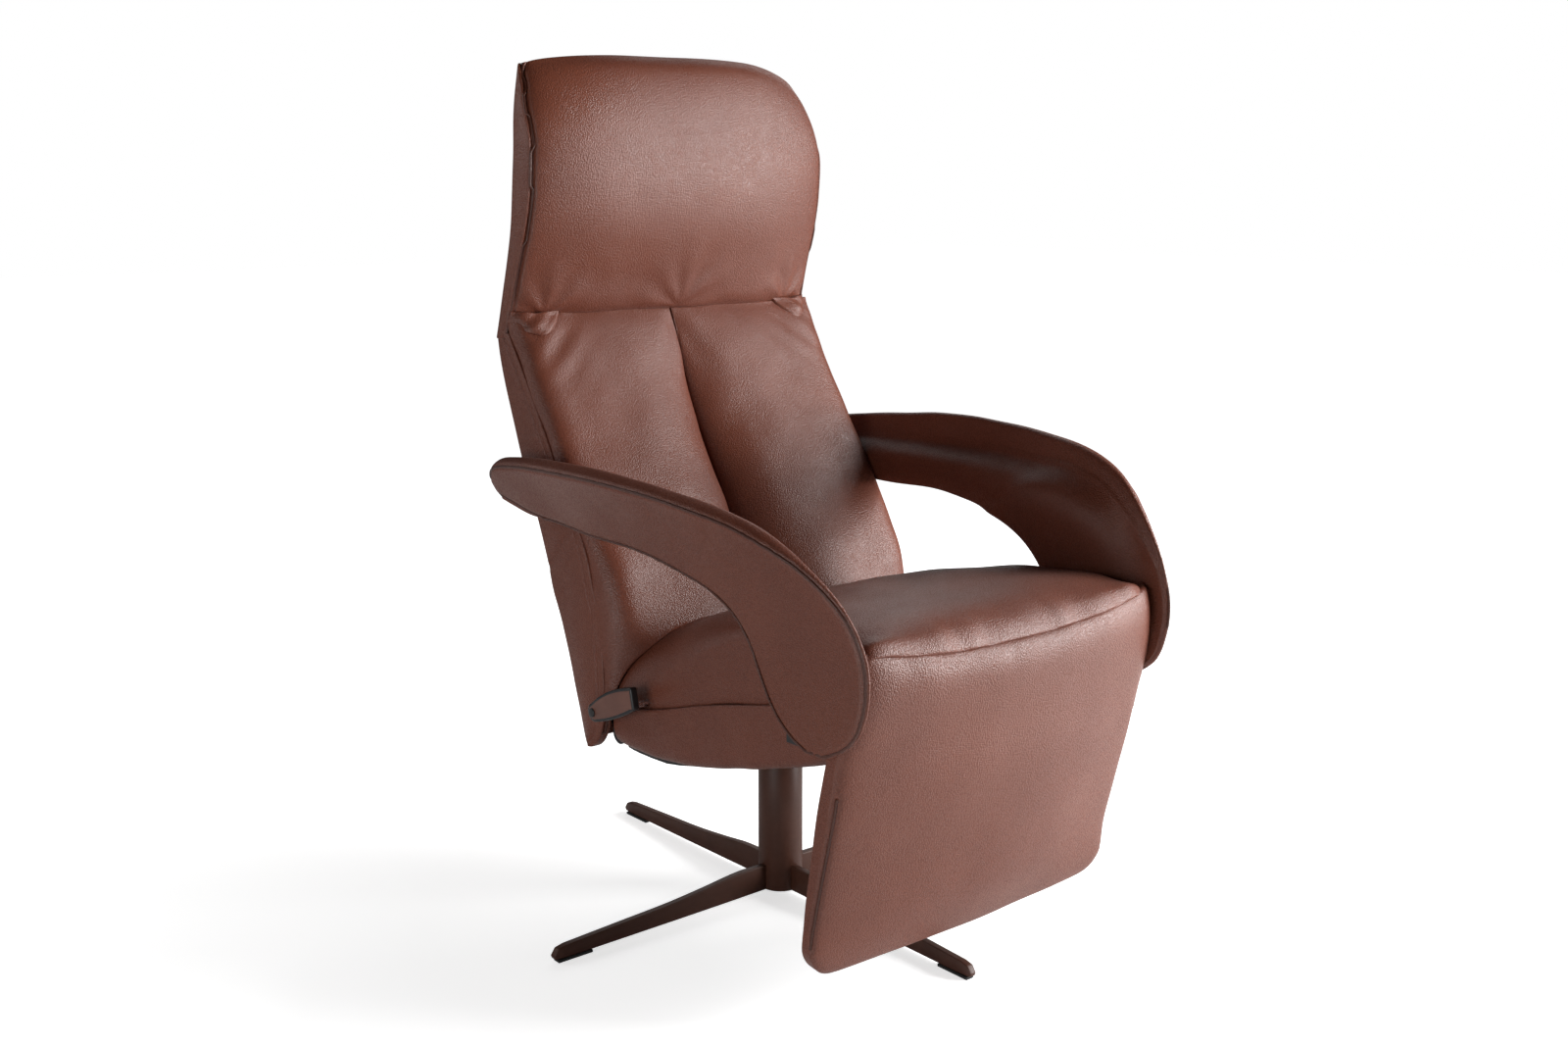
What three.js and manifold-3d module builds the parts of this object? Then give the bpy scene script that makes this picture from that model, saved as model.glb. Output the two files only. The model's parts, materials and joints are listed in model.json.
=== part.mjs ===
// Reclining swivel armchair on a four-arm star base. Millimetres, +Z up, the chair faces -Y.
// Left and right are the sitter's: the sitter's right is -X, the side with the release lever.
import * as THREE from 'three';
import { mergeVertices } from 'three/addons/utils/BufferGeometryUtils.js';
import Module from 'manifold-3d';

const wasm = await Module();
wasm.setup();

// ---- Driving dimensions -------------------------------------------------------------------
const SWIVEL_Y = 37.5;            // swivel axis behind the middle of the chair's box
const GAP = 0.4;                  // room left between pieces that touch
const COLUMN_R = 30;
const COLUMN_WALL = 3;
const COLUMN_TOP = 229;
const SPINDLE_R = 20;
const LEG_REACH = 368;
const LEG_THICK = 8;
const PAD_THICK = 3.5;
const PLATE = 5;                  // steel side plates
const SEAT_HALF = 236;            // cushions between the arms
const SHELL_HALF = 254;           // outer face of the back's sides
const LEGREST_HALF = 250;
const RAIL_X = 217;               // inner face of the seat's side rails
const BACK_RAIL_X = 226;          // inner face of the back's side rails
const RECLINE = { y: 45, z: 258 };
const HEAD_HINGE = { y: 265, z: 762 };
const LEGREST_HINGE = { y: -404, z: 350 };
const LEVER_PIVOT = { y: -28, z: 318 };
const ROD_PIN = { y: 33, z: 300 };
const LEVER_X = 259;              // inner face of the release lever
const LEVER_THICK = 11;

// ---- Materials ----------------------------------------------------------------------------
const finish = (color, roughness, metalness) => new THREE.MeshStandardMaterial({ color, roughness, metalness });
const leather = finish(0x6b3d31, 0.5, 0);
const coatedSteel = finish(0x4a2f28, 0.45, 0.3);
const blackSteel = finish(0x1b1b1d, 0.5, 0.6);
const brightSteel = finish(0x9a9c9f, 0.35, 1);
const plywood = finish(0xb58c5c, 0.7, 0);
const webbing = finish(0x2c2a29, 0.9, 0);
const rubber = finish(0x161616, 0.9, 0);
const nylon = finish(0xd9d6cc, 0.5, 0);
const blackPlastic = finish(0x1d2124, 0.4, 0);
const brownPlastic = finish(0x6a4237, 0.5, 0);

const chair = new THREE.Group();
chair.position.y = SWIVEL_Y;

function add(name, geometry, material, position = [0, 0, 0], turnZ = 0) {
  const mesh = new THREE.Mesh(geometry, material);
  mesh.name = name;
  mesh.position.set(...position);
  mesh.rotation.z = turnZ;
  chair.add(mesh);
}

// ---- Solids -------------------------------------------------------------------------------
function toManifold(geometry) {
  const plain = geometry.clone();
  plain.deleteAttribute('normal');
  plain.deleteAttribute('uv');
  const merged = mergeVertices(plain, 1e-4);
  return new wasm.Manifold(new wasm.Mesh({
    numProp: 3,
    vertProperties: new Float32Array(merged.attributes.position.array),
    triVerts: new Uint32Array(merged.index.array),
  }));
}

function fromManifold(solid) {
  const mesh = solid.getMesh();
  const geometry = new THREE.BufferGeometry();
  geometry.setAttribute('position', new THREE.BufferAttribute(mesh.vertProperties, 3));
  geometry.setIndex(new THREE.BufferAttribute(mesh.triVerts, 1));
  return geometry;
}

const cut = (body, ...tools) => fromManifold(
  tools.reduce((solid, tool) => solid.subtract(toManifold(tool)), toManifold(body)));
const join = (body, ...extra) => fromManifold(
  extra.reduce((solid, piece) => solid.add(toManifold(piece)), toManifold(body)));
const common = (first, second) => fromManifold(toManifold(first).intersect(toManifold(second)));

const outline = (points) => new THREE.Shape(points.map(([a, b]) => new THREE.Vector2(a, b)));

function roundHole(y, z, radius) {
  const hole = new THREE.Path();
  hole.absarc(y, z, radius, 0, 2 * Math.PI, true);
  return hole;
}

// A side outline in Y and Z, carried along X from x0 to x1.
function slab(points, x0, x1, holes = []) {
  const shape = points instanceof THREE.Shape ? points : outline(points);
  shape.holes.push(...holes);
  const geometry = new THREE.ExtrudeGeometry(shape, { depth: x1 - x0, bevelEnabled: false, curveSegments: 10 });
  const axes = new THREE.Matrix4().makeBasis(
    new THREE.Vector3(0, 1, 0), new THREE.Vector3(0, 0, 1), new THREE.Vector3(1, 0, 0));
  geometry.applyMatrix4(axes);
  geometry.translate(x0, 0, 0);
  return geometry;
}

// A front outline in X and Z, carried along Y from y0 to y1.
function frontSlab(shape, y0, y1) {
  const geometry = new THREE.ExtrudeGeometry(shape, { depth: y1 - y0, bevelEnabled: false, curveSegments: 8 });
  geometry.rotateX(Math.PI / 2);
  geometry.translate(0, y1, 0);
  return geometry;
}

const box = (x0, x1, y0, y1, z0, z1) => new THREE.BoxGeometry(x1 - x0, y1 - y0, z1 - z0)
  .translate((x0 + x1) / 2, (y0 + y1) / 2, (z0 + z1) / 2);

function rodX(radius, x0, x1, y, z) {
  const geometry = new THREE.CylinderGeometry(radius, radius, x1 - x0, 24);
  geometry.rotateZ(Math.PI / 2);
  geometry.translate((x0 + x1) / 2, y, z);
  return geometry;
}

// A ring or plug turned about the vertical axis.
function turned(points, segments = 48) {
  const profile = points.map(([r, z]) => new THREE.Vector2(r, z));
  profile.push(profile[0].clone());
  return new THREE.LatheGeometry(profile, segments).rotateX(Math.PI / 2);
}

const ring = (inner, outer, z0, z1) => turned([[inner, z0], [outer, z0], [outer, z1], [inner, z1]]);
const disc = (radius, z0, z1) => new THREE.CylinderGeometry(radius, radius, z1 - z0, 48)
  .rotateX(Math.PI / 2).translate(0, 0, (z0 + z1) / 2);

// The two sides of the chair: slab limits of a piece between |x| = near and |x| = far.
const SIDES = [
  { word: 'right', span: (near, far) => [-far, -near] },
  { word: 'left', span: (near, far) => [near, far] },
];

// Points along a smooth line through the given ones.
const smooth = (points, count) => new THREE.SplineCurve(points.map(([a, b]) => new THREE.Vector2(a, b)))
  .getPoints(count).map((p) => [p.x, p.y]);

// The band between a line and the same line shifted by (dy, dz).
const band = (line, dy, dz = 0) => [...line, ...line.map(([y, z]) => [y + dy, z + dz]).reverse()];

// A strip of the given half width along a centre line, square at both ends.
function strip(line, half) {
  const side = (sign) => line.map(([y, z], i) => {
    const before = line[Math.max(i - 1, 0)];
    const after = line[Math.min(i + 1, line.length - 1)];
    const length = Math.hypot(after[0] - before[0], after[1] - before[1]);
    return [y + sign * half * (after[1] - before[1]) / length, z - sign * half * (after[0] - before[0]) / length];
  });
  return [...side(1), ...side(-1).reverse()];
}

// A flat arm along a line, with a round eye at the pivot where it starts.
function eyePlate(line, half, hole, x0, x1) {
  const [y, z] = line[0];
  const plate = join(slab(strip(line, half), x0, x1), rodX(half + 3, x0, x1, y, z));
  return cut(plate, rodX(hole, x0 - 1, x1 + 1, y, z));
}

// ---- Star base and column -----------------------------------------------------------------
add('column_tube', ring(COLUMN_R - COLUMN_WALL, COLUMN_R, 5, COLUMN_TOP), coatedSteel);
for (const [name, z0, z1] of [['lower_bush', 60, 85], ['upper_bush', 192, 222]]) {
  add(name, ring(SPINDLE_R + GAP, COLUMN_R - COLUMN_WALL - GAP, z0, z1), nylon);
}
add('thrust_ring', ring(SPINDLE_R + GAP, COLUMN_R, COLUMN_TOP + GAP, 234.6), brightSteel);

function legPlate() {
  const root = COLUMN_R + GAP;
  const shape = new THREE.Shape();
  shape.moveTo(root, 5.4);
  shape.lineTo(300, PAD_THICK + GAP);
  shape.lineTo(LEG_REACH - 5, PAD_THICK + GAP);
  shape.quadraticCurveTo(LEG_REACH, PAD_THICK + GAP, LEG_REACH, 9);
  shape.quadraticCurveTo(LEG_REACH - 1, 19, LEG_REACH - 15, 19.5);
  shape.bezierCurveTo(290, 24, 250, 22, 180, 27);
  shape.bezierCurveTo(130, 30, 90, 40, root, 40.5);
  const geometry = new THREE.ExtrudeGeometry(shape, { depth: LEG_THICK, bevelEnabled: false, curveSegments: 9 });
  return geometry.rotateX(Math.PI / 2).translate(0, LEG_THICK / 2, 0);
}

const LEGS = [['left', 0], ['rear', Math.PI / 2], ['right', Math.PI], ['front', -Math.PI / 2]];
for (const [word, turn] of LEGS) {
  add(`leg_${word}`, legPlate(), coatedSteel, [0, 0, 0], turn);
  add(`foot_pad_${word}`, box(312, 362, -6, 6, 0, PAD_THICK), rubber, [0, 0, 0], turn);
}

// ---- Seat frame ---------------------------------------------------------------------------
const PLATE_BOTTOM = 235;
const PLATE_TOP = 241;
const BEAM_TOP = PLATE_TOP + 25;
add('swivel_spindle', join(box(-100, 100, -60, 45, PLATE_BOTTOM, PLATE_TOP), disc(SPINDLE_R, 58, PLATE_TOP)),
  blackSteel);
const crossBeam = (y) => box(-RAIL_X + GAP, RAIL_X - GAP, y, y + 25, PLATE_TOP + GAP, BEAM_TOP);
const springLug = box(-12, 12, -56, -40, BEAM_TOP - 5, ROD_PIN.z - 14 - GAP);
add('cross_beam_front', join(crossBeam(-60), springLug), blackSteel);
add('cross_beam_rear', crossBeam(15), blackSteel);

const RAIL_PROFILE = [
  [60, 246], [60, 272], [30, 310], [0, 324], [-88, 324], [-272, 368], [-340, 372], [-374, 361], [-408, 361],
  [-414, 352], [-409, 344.5], [-385, 344], [-345, 326], [-200, 280], [-60, 248],
];
const ARM_BOLT = { y: -330, z: 350 };
const ARM_FOOT_X = 240.4;
for (const { word, span } of SIDES) {
  // Each rail carries the studs that the back and the legrest turn on, and the lug that the arm bolts to.
  const holes = word === 'right' ? [roundHole(LEVER_PIVOT.y, LEVER_PIVOT.z, 4.4)] : [];
  add(`seat_rail_${word}`, join(
    slab(RAIL_PROFILE, ...span(RAIL_X, RAIL_X + PLATE), holes),
    rodX(6, ...span(RAIL_X + 1, BACK_RAIL_X + 7), RECLINE.y, RECLINE.z),
    rodX(5, ...span(206, RAIL_X + 1), LEGREST_HINGE.y, LEGREST_HINGE.z),
    box(...span(RAIL_X + 1, ARM_FOOT_X), ARM_BOLT.y - 29, ARM_BOLT.y + 29, ARM_BOLT.z - 11, ARM_BOLT.z + 11),
  ), blackSteel);
}
add('front_board', box(-206, 206, -396, -386, 340, 400), plywood);

const WEB_COUNT = 3;
for (let i = 0; i < WEB_COUNT; i += 1) {
  const y = -110 - 80 * i;
  const z = 326 + (-88 - y) * 0.24;
  const web = new THREE.BoxGeometry(2 * RAIL_X + 2 * PLATE, 45, 2);
  web.rotateX(-Math.atan(0.24));
  add(`seat_web_${i + 1}`, web, webbing, [0, y, z + 1]);
}

// Gas spring under the cushion: the tube stays with the seat, the rod runs out of it.
const SPRING_FRONT = -236;
const SPRING_REAR = -30;
const springProfile = [
  [0, 0], [14, 0], [14, SPRING_REAR - SPRING_FRONT], [5.6, SPRING_REAR - SPRING_FRONT], [5.6, 60], [0, 60],
];
const springTube = new THREE.LatheGeometry(springProfile.map(([r, y]) => new THREE.Vector2(r, y)), 24);
add('gas_spring_tube', springTube, blackSteel, [0, SPRING_FRONT, ROD_PIN.z]);
const ROD_FRONT = -165;
const rodLength = ROD_PIN.y - 10 - ROD_FRONT;
const rodShaft = new THREE.CylinderGeometry(5, 5, rodLength, 20)
  .translate(0, ROD_FRONT + rodLength / 2, ROD_PIN.z);
const rodEye = slab(new THREE.Shape().absarc(ROD_PIN.y, ROD_PIN.z, 12, 0, 2 * Math.PI), -5, 5,
  [roundHole(ROD_PIN.y, ROD_PIN.z, 8.6)]);
add('gas_spring_rod', join(rodShaft, rodEye), brightSteel);

// ---- Seat upholstery ----------------------------------------------------------------------
const UNDERSIDE = [[45, 221], [0, 222], [-56, 229], [-194, 264], [-352, 311]];
const columnHole = new THREE.CylinderGeometry(COLUMN_R + 6, COLUMN_R + 6, 60, 40).rotateX(Math.PI / 2)
  .translate(0, 0, 225);
add('seat_underside', cut(slab(band(UNDERSIDE, 0, 3), -RAIL_X + 1, RAIL_X - 1), columnHole), leather);

const SIDE_PANEL = [
  [28, 250], [29, 300], [-33, 309], [-131, 338], [-207, 358], [-272, 373], [-372, 396], [-384, 380],
  [-384, 335], [-261, 294], [-130, 260], [-69, 252], [20, 243],
];
for (const { word, span } of SIDES) {
  const slot = outline([[-30, -12], [-30, 12], [30, 12], [30, -12]].map(
    ([y, z]) => [ARM_BOLT.y + y, ARM_BOLT.z + z]));
  add(`seat_side_${word}`, slab(SIDE_PANEL, ...span(224, 240), [slot]), leather);
}

// Where the back leans on it, the cushion carries on behind as a roll about the recline hinge.
const ROLL_R = 143.5;
const rollPoint = (degrees, radius) => [
  RECLINE.y + radius * Math.sin(THREE.MathUtils.degToRad(degrees)),
  RECLINE.z + radius * Math.cos(THREE.MathUtils.degToRad(degrees)),
];
const CUSHION = [
  ...[-23, -10, 0, 9, 17].map((degrees) => rollPoint(degrees, ROLL_R)),
  [88, 340], [70, 330], [-88, 331], [-272, 380], [-374, 404],
];
const CUSHION_TOP = [[-375, 469], [-315, 470], [-214, 460], [-107, 438], [-18, 411]];
const cushionRear = slab(CUSHION, -222, 222);
const cushionFront = slab([...CUSHION_TOP, rollPoint(-26, ROLL_R), [20, 331], [-88, 331], [-272, 380], [-375, 404]],
  -SEAT_HALF, SEAT_HALF);
add('seat_cushion', join(cushionFront, cushionRear), leather);

const KNEE_ROLL = smooth([
  [-420, 365], [-428, 385], [-436, 412], [-434, 440], [-420, 462], [-400, 469], [-376, 470],
], 14);
add('knee_roll', slab([...KNEE_ROLL, [-376, 403], [-398, 403], [-398, 365]], -SEAT_HALF, SEAT_HALF), leather);

// ---- Arms ---------------------------------------------------------------------------------
// Two lines run round each arm from its rear tip, over the top and down to the seat's side.
const ARM_OUTER = new THREE.SplineCurve([
  [215, 584], [110, 603], [0, 606], [-110, 605], [-203, 600], [-285, 588], [-355, 562], [-410, 520],
  [-437, 470], [-440, 415], [-424, 370], [-385, 348],
].map(([y, z]) => new THREE.Vector2(y, z)));
const ARM_INNER = new THREE.SplineCurve([
  [214, 560], [159, 538], [49, 524], [-55, 515], [-151, 502], [-208, 480], [-240, 452], [-262, 415],
  [-283, 386], [-305, 366], [-330, 352], [-352, 346],
].map(([y, z]) => new THREE.Vector2(y, z)));

// The outer face leans outwards above the seat.
const flare = (z) => 252 + (z > 440 ? 68 * ((z - 440) / 166) ** 2 : 8 * ((440 - z) / 96) ** 2);

// Width of the arm rest along its top, from the rear tip (0) to the foot (1).
const topWidth = (t) => THREE.MathUtils.lerp(
  THREE.MathUtils.lerp(42, 58, Math.min(t / 0.3, 1)), 13, THREE.MathUtils.smoothstep(t, 0.5, 0.85));

const ARM_INSIDE = ARM_FOOT_X + GAP;
function armRing(t, sign, shrink) {
  const outer = ARM_OUTER.getPoint(t);
  const inner = ARM_INNER.getPoint(t);
  const across = outer.clone().sub(inner).normalize();
  const width = topWidth(t);
  const lower = THREE.MathUtils.lerp(17, 12, t);
  const edge = (line, x, out) => [Math.max(x, ARM_INSIDE), line.x + across.x * out, line.y + across.y * out];
  const middle = outer.clone().add(inner).multiplyScalar(0.5);
  const points = [
    edge(outer, flare(outer.y), 0),
    edge(outer, flare(outer.y) - width * 0.22, width * 0.2),
    edge(outer, flare(outer.y) - width * 0.66, width * 0.22),
    edge(outer, flare(outer.y) - width, -3),
    edge(inner, flare(inner.y) - lower, 4),
    edge(inner, flare(inner.y) - lower / 2, -3),
    edge(inner, flare(inner.y), 2),
    edge(middle, (flare(outer.y) + flare(inner.y)) / 2, 0),
  ];
  const centre = points.reduce((sum, p) => sum.map((v, i) => v + p[i] / points.length), [0, 0, 0]);
  return points.map((p) => p.map((v, i) => centre[i] + (v - centre[i]) * shrink))
    .map(([x, y, z]) => new THREE.Vector3(sign * Math.max(x, ARM_INSIDE), y, z));
}

// Closed skin over a row of like rings; flip turns the faces of the mirrored side outwards.
function loft(rings, flip) {
  const count = rings[0].length;
  const points = rings.flat();
  const faces = [];
  for (let r = 0; r + 1 < rings.length; r += 1) {
    for (let i = 0; i < count; i += 1) {
      const a = r * count + i;
      const b = r * count + (i + 1) % count;
      faces.push([a, b, b + count], [a, b + count, a + count]);
    }
  }
  const last = points.length - count;
  for (let i = 1; i + 1 < count; i += 1) {
    faces.push([0, i + 1, i], [last, last + i, last + i + 1]);
  }
  const geometry = new THREE.BufferGeometry().setFromPoints(points);
  geometry.setIndex(faces.flatMap(([a, b, c]) => (flip ? [a, c, b] : [a, b, c])));
  return geometry;
}

const ARM_STEPS = 26;
for (const { word, span } of SIDES) {
  const sign = Math.sign(span(1, 2)[0]);
  const rings = [armRing(0, sign, 0.6)];
  for (let i = 1; i <= ARM_STEPS; i += 1) {
    rings.push(armRing(i / ARM_STEPS, sign, i === 1 ? 0.93 : 1));
  }
  // The plywood core follows the middle of the arm and comes to its inner face at the foot.
  const core = (grow) => {
    const coreRings = [];
    for (let i = 2; i <= ARM_STEPS - 3; i += 1) {
      const t = i / ARM_STEPS;
      const outer = ARM_OUTER.getPoint(t);
      const inner = ARM_INNER.getPoint(t);
      const middle = outer.clone().add(inner).multiplyScalar(0.5);
      const across = outer.clone().sub(inner).normalize().multiplyScalar(11 + grow);
      const face = THREE.MathUtils.lerp(flare(middle.y) - 10, 246, THREE.MathUtils.smoothstep(t, 0.6, 0.8));
      const thick = 5;
      const corner = (x, k) => new THREE.Vector3(sign * x, middle.x + k * across.x, middle.y + k * across.y);
      const reach = t > 0.8 ? 12 * Math.sign(grow) : grow;
      coreRings.push([
        corner(face + grow, 1), corner(face - thick - reach, 1),
        corner(face - thick - reach, -1), corner(face + grow, -1),
      ]);
    }
    return loft(coreRings, sign < 0);
  };
  add(`arm_pad_${word}`, cut(loft(rings, sign < 0), core(GAP)), leather);
  add(`arm_core_${word}`, core(0), plywood);
}

// ---- Back ---------------------------------------------------------------------------------
const BACK_LINE = [
  [RECLINE.y, RECLINE.z], [80, 331], [98, 393], [120, 445], [142, 503], [197, 610], [235, 683], [258, 735],
  [HEAD_HINGE.y, HEAD_HINGE.z],
];
const BACK_REAR = [
  [95, 250], [110, 296], [128, 349], [153, 411], [171, 458], [197, 520], [231, 595], [267, 688], [284, 750],
];
const BACK_FRONT = [
  [250, 755], [204, 683], [157, 610], [89, 503], [68, 445], [53, 393], [48, 331], [48, 280], [70, 244],
];
for (const { word, span } of SIDES) {
  add(`back_rail_${word}`, join(
    eyePlate(BACK_LINE, 11, 6.5, ...span(BACK_RAIL_X, BACK_RAIL_X + PLATE)),
    rodX(5, ...span(216, BACK_RAIL_X + 1), HEAD_HINGE.y, HEAD_HINGE.z),
  ), blackSteel);
  add(`back_side_${word}`, slab([...BACK_REAR, ...BACK_FRONT, [85, 240]], ...span(238, SHELL_HALF)), leather);
}
for (const [word, y, z] of [['lower', 96, 316], ['upper', 252, 700]]) {
  add(`back_tube_${word}`, rodX(9, -BACK_RAIL_X + GAP, BACK_RAIL_X - GAP, y, z), blackSteel);
}
const BACK_WEBS = [[98, 440], [137, 530], [182, 615]];
for (const [i, [y, z]] of BACK_WEBS.entries()) {
  const web = new THREE.BoxGeometry(2 * BACK_RAIL_X - 8, 2, 42).rotateX(-THREE.MathUtils.degToRad(25));
  add(`back_web_${i + 1}`, web, webbing, [0, y, z]);
}

const CUSHION_ARC = 148;
const BACK_CUSHION = [
  ...[12, 0, -12, -21].map((degrees) => rollPoint(degrees, CUSHION_ARC)),
  ...smooth([[-8, 405], [12, 446], [62, 524], [125, 610], [172, 683], [204, 740], [222, 772]], 12),
  [247, 772], [234, 740], [204, 683], [166, 610], [112, 510], [88, 450],
];
for (const { word, span } of SIDES) {
  add(`back_cushion_${word}`, slab(BACK_CUSHION, ...span(0.5, SEAT_HALF)), leather);
}
add('back_panel', slab(band(BACK_REAR.map(([y, z]) => [y - 7, z]), 7), -SEAT_HALF, SEAT_HALF), leather);

const lugOutline = [[24, 309], [42, 311], [86, 320], [86, 307], [60, 296], [36, 289], [24, 291]];
add('recline_lug', join(slab(lugOutline, 7, 12), rodX(5, -7, 8, ROD_PIN.y, ROD_PIN.z)), blackSteel);

// ---- Headrest -----------------------------------------------------------------------------
const HEAD_REAR = [[276, 792], [267, 815], [251, 874], [241, 936], [234, 1008], [228, 1070], [221, 1098]];
const HEAD_FRONT = [
  [214, 1109], [192, 1094], [174, 1052], [165, 993], [169, 936], [182, 887], [204, 838], [220, 800], [224, 787],
];
const headFace = new THREE.Shape();
headFace.moveTo(-250, 740);
headFace.lineTo(250, 740);
headFace.lineTo(249, 1000);
headFace.bezierCurveTo(246, 1060, 226, 1092, 190, 1101);
headFace.bezierCurveTo(140, 1108, 60, 1111, 0, 1111);
headFace.bezierCurveTo(-60, 1111, -140, 1108, -190, 1101);
headFace.bezierCurveTo(-226, 1092, -246, 1060, -249, 1000);
const headPiece = (points, x0, x1) => common(slab(points, x0, x1), frontSlab(headFace, 100, 320));
const shifted = (line, dy) => line.map(([y, z]) => [y + dy, z]);

const cushionBack = shifted(HEAD_REAR, -18);
add('head_cushion', headPiece([...smooth(HEAD_FRONT, 16).reverse(), ...cushionBack.reverse()],
  -SEAT_HALF, SEAT_HALF), leather);
add('head_board', headPiece(band(shifted(HEAD_REAR.slice(0, 6), -15), 7), -212, 212), plywood);
add('head_panel', headPiece(band(shifted(HEAD_REAR, -7), 7), -SEAT_HALF, SEAT_HALF), leather);
const HEAD_SIDE = [
  [249, 779], [262, 771], [281, 786], [267, 815], [251, 874], [241, 936], [234, 1008], [228, 1070], [222, 1092],
  [205, 1060], [193, 1010], [197, 936], [211, 887], [232, 838],
];
const HEAD_ARM = [[HEAD_HINGE.y, HEAD_HINGE.z], [265, 790], [256, 815], [240, 874], [230, 918]];
for (const { word, span } of SIDES) {
  add(`head_side_${word}`, headPiece(HEAD_SIDE, ...span(238, 250)), leather);
  add(`head_arm_${word}`, eyePlate(HEAD_ARM, 3.4, 5.4, ...span(219, 223.5)), blackSteel);
}

// ---- Legrest ------------------------------------------------------------------------------
const LEGREST_REAR = [[-391, 334], [-366, 227], [-349, 150], [-339, 84]];
const LEGREST_FRONT = [[-346, 62], [-353, 78], [-372, 136], [-392, 212], [-410, 285], [-419, 322], [-418, 333]];
const legrestFace = new THREE.Shape();
legrestFace.moveTo(-237, 350);
legrestFace.lineTo(-237, 334);
legrestFace.lineTo(-LEGREST_HALF, 312);
legrestFace.lineTo(-LEGREST_HALF, 105);
legrestFace.quadraticCurveTo(-LEGREST_HALF, 66, -210, 62);
legrestFace.lineTo(210, 62);
legrestFace.quadraticCurveTo(LEGREST_HALF, 66, LEGREST_HALF, 105);
legrestFace.lineTo(LEGREST_HALF, 312);
legrestFace.lineTo(237, 334);
legrestFace.lineTo(237, 350);
const padProfile = [...LEGREST_FRONT, ...shifted(LEGREST_REAR, -8.5), [-339, 83], [-338, 62]];
add('legrest_pad', common(slab(padProfile, -LEGREST_HALF, LEGREST_HALF), frontSlab(legrestFace, -440, -320)), leather);
add('legrest_board', slab(band(shifted(LEGREST_REAR, -8), 8), -235, 235), plywood);
const LEGREST_ARM = [[LEGREST_HINGE.y, LEGREST_HINGE.z], [-386, 340], [-376, 318], [-362, 262]];
for (const { word, span } of SIDES) {
  add(`legrest_arm_${word}`, eyePlate(LEGREST_ARM, 6, 5.4, ...span(209, 214)), blackSteel);
}

// ---- Release lever, on the sitter's right ----------------------------------------------------
const LEVER_TIP = { y: 52, z: 294 };
function leverOutline(inset) {
  const shape = new THREE.Shape();
  shape.moveTo(-36 + inset, 345 - inset);
  shape.lineTo(-43 + inset, 318 + inset);
  shape.quadraticCurveTo(0, 293 + inset, 44, 281 + inset);
  shape.absarc(LEVER_TIP.y - 4, LEVER_TIP.z - 1, 12 - inset, -Math.PI * 0.6, Math.PI * 0.38, false);
  shape.quadraticCurveTo(18, 333 - inset, -36 + inset, 345 - inset);
  return shape;
}
const leverX = [-LEVER_X - LEVER_THICK, -LEVER_X];
const leverBlank = slab(leverOutline(0), ...leverX);
const insertPocket = slab(leverOutline(3.5), leverX[0] - 1, leverX[0] + 3);
const buttonBore = rodX(6.6, leverX[0] - 2, leverX[0] + 7, LEVER_TIP.y - 4, LEVER_TIP.z - 1);
const shaftBore = rodX(4.4, leverX[1] - 6, leverX[1] + 1, LEVER_PIVOT.y, LEVER_PIVOT.z);
add('lever_body', cut(leverBlank, insertPocket, buttonBore, shaftBore), blackPlastic);
const insert = slab(leverOutline(3.5 + GAP), leverX[0] + 0.6, leverX[0] + 3 - GAP);
add('lever_insert', cut(insert, buttonBore), brownPlastic);
add('lever_button', rodX(5.8, leverX[0] - 1.5, leverX[0] + 4, LEVER_TIP.y - 4, LEVER_TIP.z - 1), blackPlastic);
add('lever_shaft', rodX(4, leverX[1] - 5.5, -RAIL_X + 4, LEVER_PIVOT.y, LEVER_PIVOT.z), brightSteel);

export default chair;
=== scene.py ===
"""Swivel recliner armchair in pebbled leather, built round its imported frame."""
import json
import math
import bpy
import bmesh
from bpy.props import FloatProperty, FloatVectorProperty, PointerProperty
from mathutils import Matrix, Vector, noise
from mathutils.bvhtree import BVHTree
from mathutils.kdtree import KDTree


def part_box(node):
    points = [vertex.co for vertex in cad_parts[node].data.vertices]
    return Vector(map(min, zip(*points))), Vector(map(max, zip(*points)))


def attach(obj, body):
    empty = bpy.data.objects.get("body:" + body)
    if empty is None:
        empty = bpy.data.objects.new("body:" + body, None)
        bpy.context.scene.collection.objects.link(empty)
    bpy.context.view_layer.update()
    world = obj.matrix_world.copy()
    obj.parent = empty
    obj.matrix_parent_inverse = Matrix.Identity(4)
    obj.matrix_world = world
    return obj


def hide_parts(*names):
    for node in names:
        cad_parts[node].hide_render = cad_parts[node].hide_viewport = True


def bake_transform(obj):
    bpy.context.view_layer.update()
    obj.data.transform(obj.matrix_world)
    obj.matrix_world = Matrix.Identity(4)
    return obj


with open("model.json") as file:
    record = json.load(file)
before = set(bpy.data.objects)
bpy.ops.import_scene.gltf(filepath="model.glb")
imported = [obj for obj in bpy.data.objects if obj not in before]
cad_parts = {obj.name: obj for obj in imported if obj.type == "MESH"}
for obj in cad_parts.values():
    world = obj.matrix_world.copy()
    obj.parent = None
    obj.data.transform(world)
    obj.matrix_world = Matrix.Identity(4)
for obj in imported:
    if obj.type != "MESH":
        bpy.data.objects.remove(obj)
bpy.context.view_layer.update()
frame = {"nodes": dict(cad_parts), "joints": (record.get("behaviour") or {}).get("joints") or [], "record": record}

bl_info = {
    "name": "Swivel Recliner",
    "version": (1, 0, 0),
    "blender": (4, 5, 0),
    "location": "View3D > Sidebar > Recliner",
    "description": "Builds a leather swivel recliner piece by piece",
    "category": "Object",
}

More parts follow.
